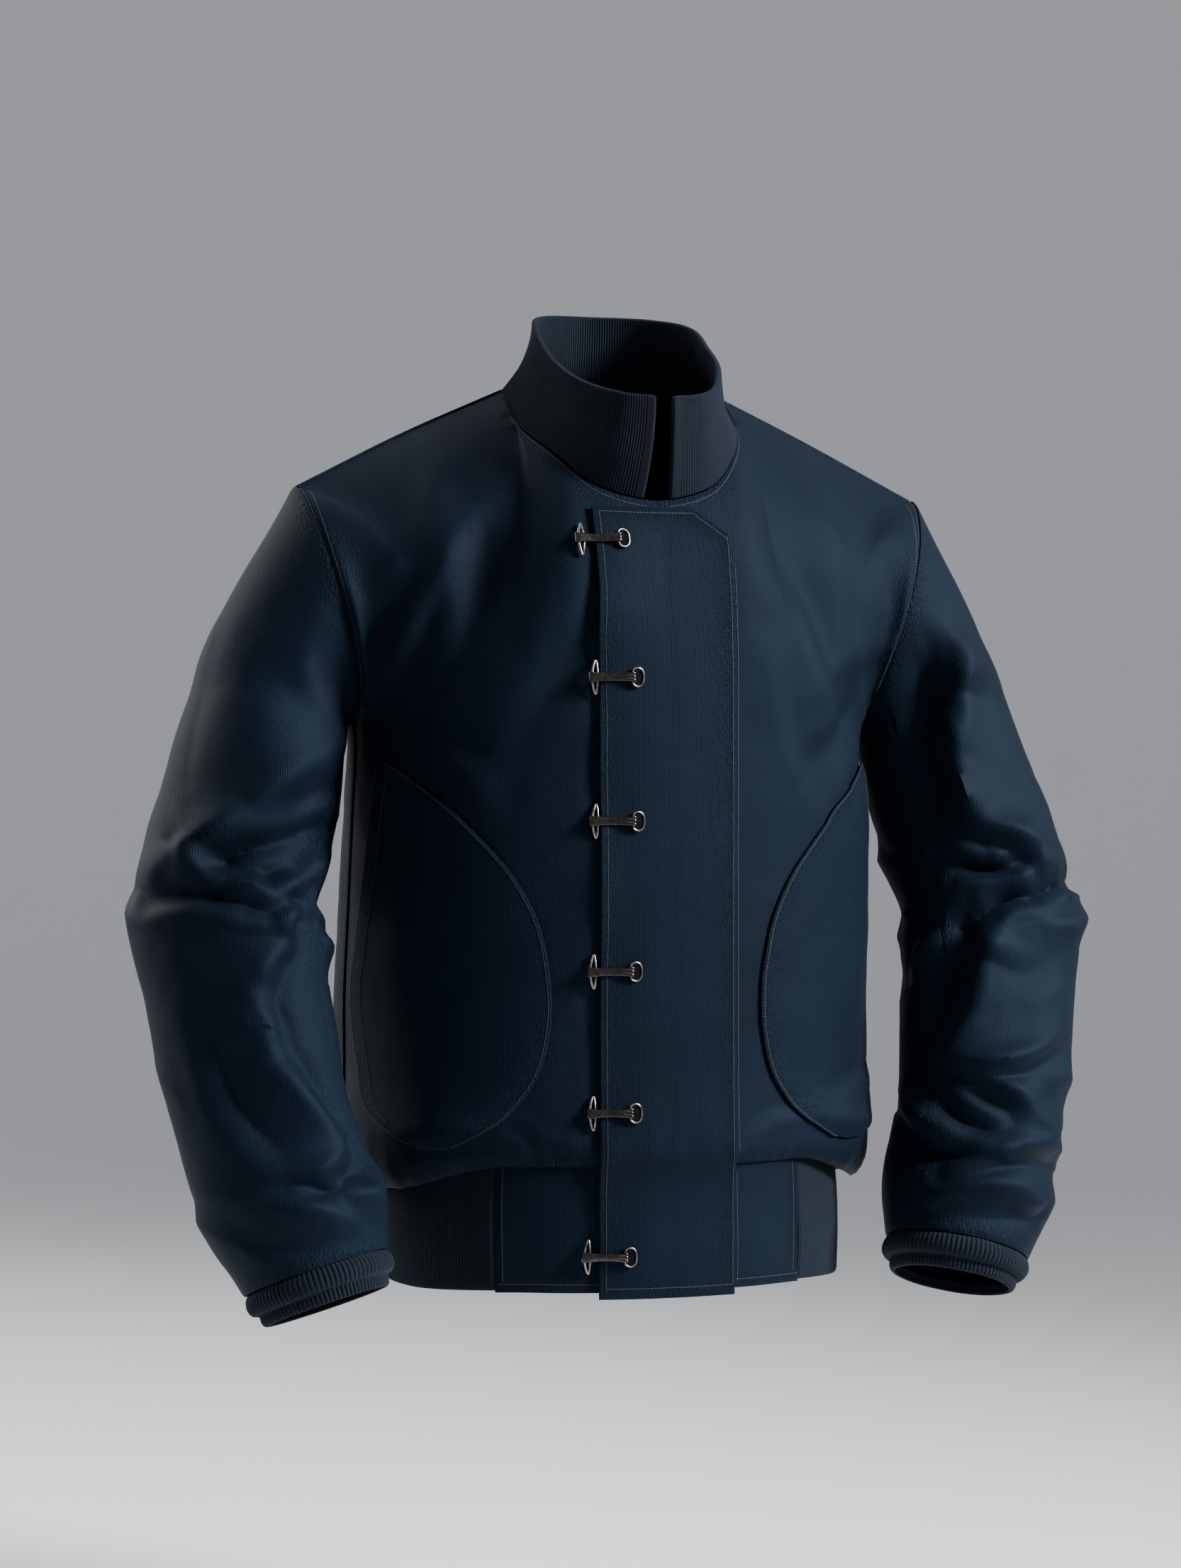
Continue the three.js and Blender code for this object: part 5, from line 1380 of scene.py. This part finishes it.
def eye_wire():
    angle = np.linspace(0, 2 * np.pi, 56, endpoint=False)
    high = np.sin(angle)
    swell = 1 - high**2
    x = EYE["x"] + EYE["half_width"] * np.cos(angle) * (1 - 0.25 * high**2) - 0.8 * swell
    loop = np.stack([x, EYE["lift"] + EYE["bow"] * swell, EYE["half_height"] * high], -1)
    return wire_rings(loop, np.array([0, 1.0, 0]), EYE_WIRE_RADIUS - EYE_WIRE_TAPER * np.cos(angle))


def ring_wire():
    """A D on its side: each pair is how far from the bar and how high, as shares of the ring's size."""
    far_high = [(0, -0.62), (0, 0), (0, 0.62), (0.12, 0.86), (0.34, 0.98), (0.6, 0.96), (0.85, 0.76),
                (0.98, 0.4), (1, 0), (0.98, -0.4), (0.85, -0.76), (0.6, -0.96), (0.34, -0.98), (0.12, -0.86)]
    corners = [(BAR_X + RING_DEPTH * f, BAR_LIFT - RING_DROP * f, RING_HEIGHT * h) for f, h in far_high]
    tilt = math.atan2(RING_DROP, RING_DEPTH)
    plane = np.array([math.sin(tilt), math.cos(tilt), 0])
    return wire_rings(closed_curve(corners, 64), plane, RING_WIRE_RADIUS)


def arc(x, lift, radius, first, last, count):
    angle = np.radians(np.linspace(first, last, count))
    return np.stack([x + radius * np.cos(angle), lift + radius * np.sin(angle)], -1)


def strap_faces():
    """The strap's outer and inner faces: along its bent line and across its width."""
    line = np.concatenate([
        arc(EYE["x"] - EYE["half_width"] - 0.8, EYE["lift"] + EYE["bow"], EYE_CURL, 295, 80, 16),
        [(-13.2, 1.75), (-10.3, 1.4), (-7, 1.4), (-4, 1.5), (-1, 1.75), (2, 2.3), (5, 3.1), (7, 3.9)],
        arc(BAR_X, BAR_LIFT, BAR_CURL, 100, -120, 14)])
    gone = length_along(line)
    at = np.linspace(0, gone[-1], 60)
    line = on_line(at, gone, line)
    ahead = unit(np.gradient(line, axis=0))
    off = np.stack([-ahead[:, 1], ahead[:, 0]], -1)
    share = np.concatenate([[-1, -0.985, -0.93, -0.86], np.linspace(-0.75, 0.75, 13), [0.86, 0.93, 0.985, 1]])
    half = STRAP_HALF * (0.84 + 0.3 * np.clip(np.abs(line[:, 0] + 4) / 16, 0, 1) ** 2)
    across = half[:, None] * share[None, :]
    wall = soft_wall(half[:, None] - np.abs(across), STRAP_WALL)
    beads = ease((line[:, 0] - 3) / 4)[:, None] * np.exp(-((np.abs(share) - 0.36) / 0.09) ** 2)[None, :]
    ends = soft_wall(np.minimum(at, at[-1] - at), STRAP_WALL)[:, None] / STRAP_WALL
    swell = 0.22 * (1 - np.abs(share[None, :]) ** 2)

    def face(sign):
        depth = sign * wall * ends / 2 + (swell - 0.34 * beads) * (sign > 0)
        return np.stack([line[:, :1] + off[:, :1] * depth, line[:, 1:] + off[:, 1:] * depth, across], -1)
    return face(1), face(-1)


def shade_plate():
    """A dished, nearly black plate inside the ring: painted shade, seen as a dark half-moon."""
    far, high = np.meshgrid(np.linspace(0.04, 0.93, 9), np.linspace(-1, 1, 11), indexing="ij")
    reach = RING_HEIGHT * 0.9 * np.sqrt(np.clip(1 - ((far - 0.35) / 0.66) ** 4, 0, 1))
    x, lift = BAR_X + RING_DEPTH * far, BAR_LIFT - RING_DROP * far - 0.5
    top = np.stack([x, lift, high * reach], -1)
    return top, top - np.array([0, 0.4, 0])


# %% Six clasps on the flap
def clasp_frame(z, shift):
    middle = -36 - shift

    def on_flap(x, z):
        place, outward = flap_surface(np.array([float(x)]), np.array([float(z)]))
        return place[0] + outward[0] * FLAP_WALL
    across = unit(on_flap(middle + 6, z) - on_flap(middle - 6, z))
    up = unit(on_flap(middle, z + 6) - on_flap(middle, z - 6))
    outward = unit(np.cross(across, up))
    return on_flap(middle, z), np.stack([across, outward, np.cross(across, outward)])


def ring_object(name, rings):
    """A torus primitive whose rings are laid on a loop of wire."""
    bpy.ops.object.select_all(action="DESELECT")
    bpy.ops.mesh.primitive_torus_add(major_segments=rings.shape[0], minor_segments=rings.shape[1])
    obj = bpy.context.object
    obj.name = obj.data.name = name
    obj.data.vertices.foreach_set("co", (rings * MM).ravel())
    obj.data.update()
    face_outwards(obj)
    return obj


eye_form, ring_form, strap_form, plate_form = eye_wire(), ring_wire(), strap_faces(), shade_plate()
for number, (z, shift) in enumerate(zip(HOOKS["z"], HOOKS["shift"]), 1):
    origin, axes = clasp_frame(z, shift)
    for word, node_name, form in (("eye", "eye", eye_form), ("ring", "hook_ring", ring_form)):
        wire = ring_object(f"clasp_{word}_{number}", form @ axes + origin)
        finish_piece(wire, [f"{node_name}_{number}"], BRIGHT)
    strap, *_ = strip_object(f"clasp_strap_{number}", *(face @ axes + origin for face in strap_form))
    close_strip(strap)
    finish_piece(strap, [f"hook_{number}"], NICKEL, smooth=50)
    # A nearly black plate under each ring paints the shade inside it.
    plate, *_ = strip_object(f"clasp_shade_plate_{number}", *(face @ axes + origin for face in plate_form))
    close_strip(plate)
    finish_piece(plate, [], RING_SHADE)

# %% [markdown]
# ## Floor, light and camera
# The jacket hangs in the air over a pale floor that sweeps up into a round wall, so every side has the same
# plain ground. One strong light comes from the image's right, in front, as on the photograph. The others
# help it: a weak fill on the left, a soft light from above and two from behind that draw the dark edges.
# The camera stands where the photograph was taken from: a long lens, level, a little to the wearer's right.

# %% A pale floor and round wall
FLOOR, WALL_REACH, SWEEP, WALL_TOP, SPOKES = -0.95, 6.0, 2.2, 5.5, 96
bend = np.radians(np.linspace(9, 90, 10))
profile = [(0, FLOOR), (WALL_REACH - SWEEP, FLOOR)]
profile += [(WALL_REACH - SWEEP + SWEEP * math.sin(a), FLOOR + SWEEP - SWEEP * math.cos(a)) for a in bend]
profile += [(WALL_REACH, WALL_TOP)]
angle = np.linspace(0, 2 * np.pi, SPOKES + 1)
bowl = np.array([[(r * math.cos(a) / MM, r * math.sin(a) / MM, z / MM) for r, z in profile] for a in angle])
floor, _, _ = grid_object("pale_floor", bowl)
activate(floor)
bpy.ops.object.mode_set(mode="EDIT")
bpy.ops.mesh.select_all(action="SELECT")
bpy.ops.mesh.remove_doubles(threshold=0.0001)
bpy.ops.object.mode_set(mode="OBJECT")
bpy.ops.object.shade_smooth()
PAPER, _, _ = new_material(
    "pale_paper", Base_Color=(0.82, 0.82, 0.82, 1), Roughness=0.95, Specular_IOR_Level=0.1)
floor.data.materials.append(PAPER)
floor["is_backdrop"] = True
print("floor at", FLOOR, "m")


# %% Lights
AIM = Vector((0, 0, -0.32))


def soft_light(name, place, size, power, spread=180):
    bpy.ops.object.light_add(type="AREA", location=place)
    light = bpy.context.object
    light.name = name
    light.rotation_euler = (AIM - Vector(place)).to_track_quat("-Z", "Y").to_euler()
    light.data.shape, light.data.size, light.data.size_y = "RECTANGLE", *size
    light.data.energy, light.data.spread = power, math.radians(spread)


soft_light("key", (2.4, -1.75, 1.2), (0.8, 1.1), 44, spread=60)
soft_light("fill", (-2.7, -1.7, 0.9), (1.4, 2.0), 1.5)
soft_light("top", (-0.3, 0.7, 2.6), (1.6, 1.2), 4, spread=90)
soft_light("back", (-2.3, 2.5, 1.1), (1.6, 1.8), 26, spread=90)
soft_light("edge", (-3.2, 1.0, 0.4), (0.8, 1.6), 2.5, spread=60)
world = bpy.data.worlds.new("studio")
bpy.context.scene.world = world
world.use_nodes = True
sky = world.node_tree.nodes["Background"]
sky.inputs["Color"].default_value, sky.inputs["Strength"].default_value = (0.9, 0.93, 1, 1), 0.55

# %% Camera
CAMERA_PLACE, LOOKING = (-0.7938, -2.5964, -0.287), Vector((0.292, 0.956, 0))
LENS, SENSOR, PHOTO_HEIGHT, SHIFTED_PIXELS = 85, 36, 2212, -35
bpy.ops.object.camera_add(location=CAMERA_PLACE)
camera = bpy.context.object
camera.name = "photograph"
camera.rotation_euler = LOOKING.to_track_quat("-Z", "Y").to_euler()
camera.data.lens, camera.data.sensor_width = LENS, SENSOR
camera.data.shift_x = SHIFTED_PIXELS / PHOTO_HEIGHT
bpy.context.scene.camera = camera
print("camera:", [round(v, 3) for v in camera.location])

# %% The size of what was made, against the solids
low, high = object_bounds()
reach = [round((a - b) / MM, 1) for a, b in zip((*cad_low, *high), (*low, *cad_high))]
print("reach beyond the solids in mm:", reach)
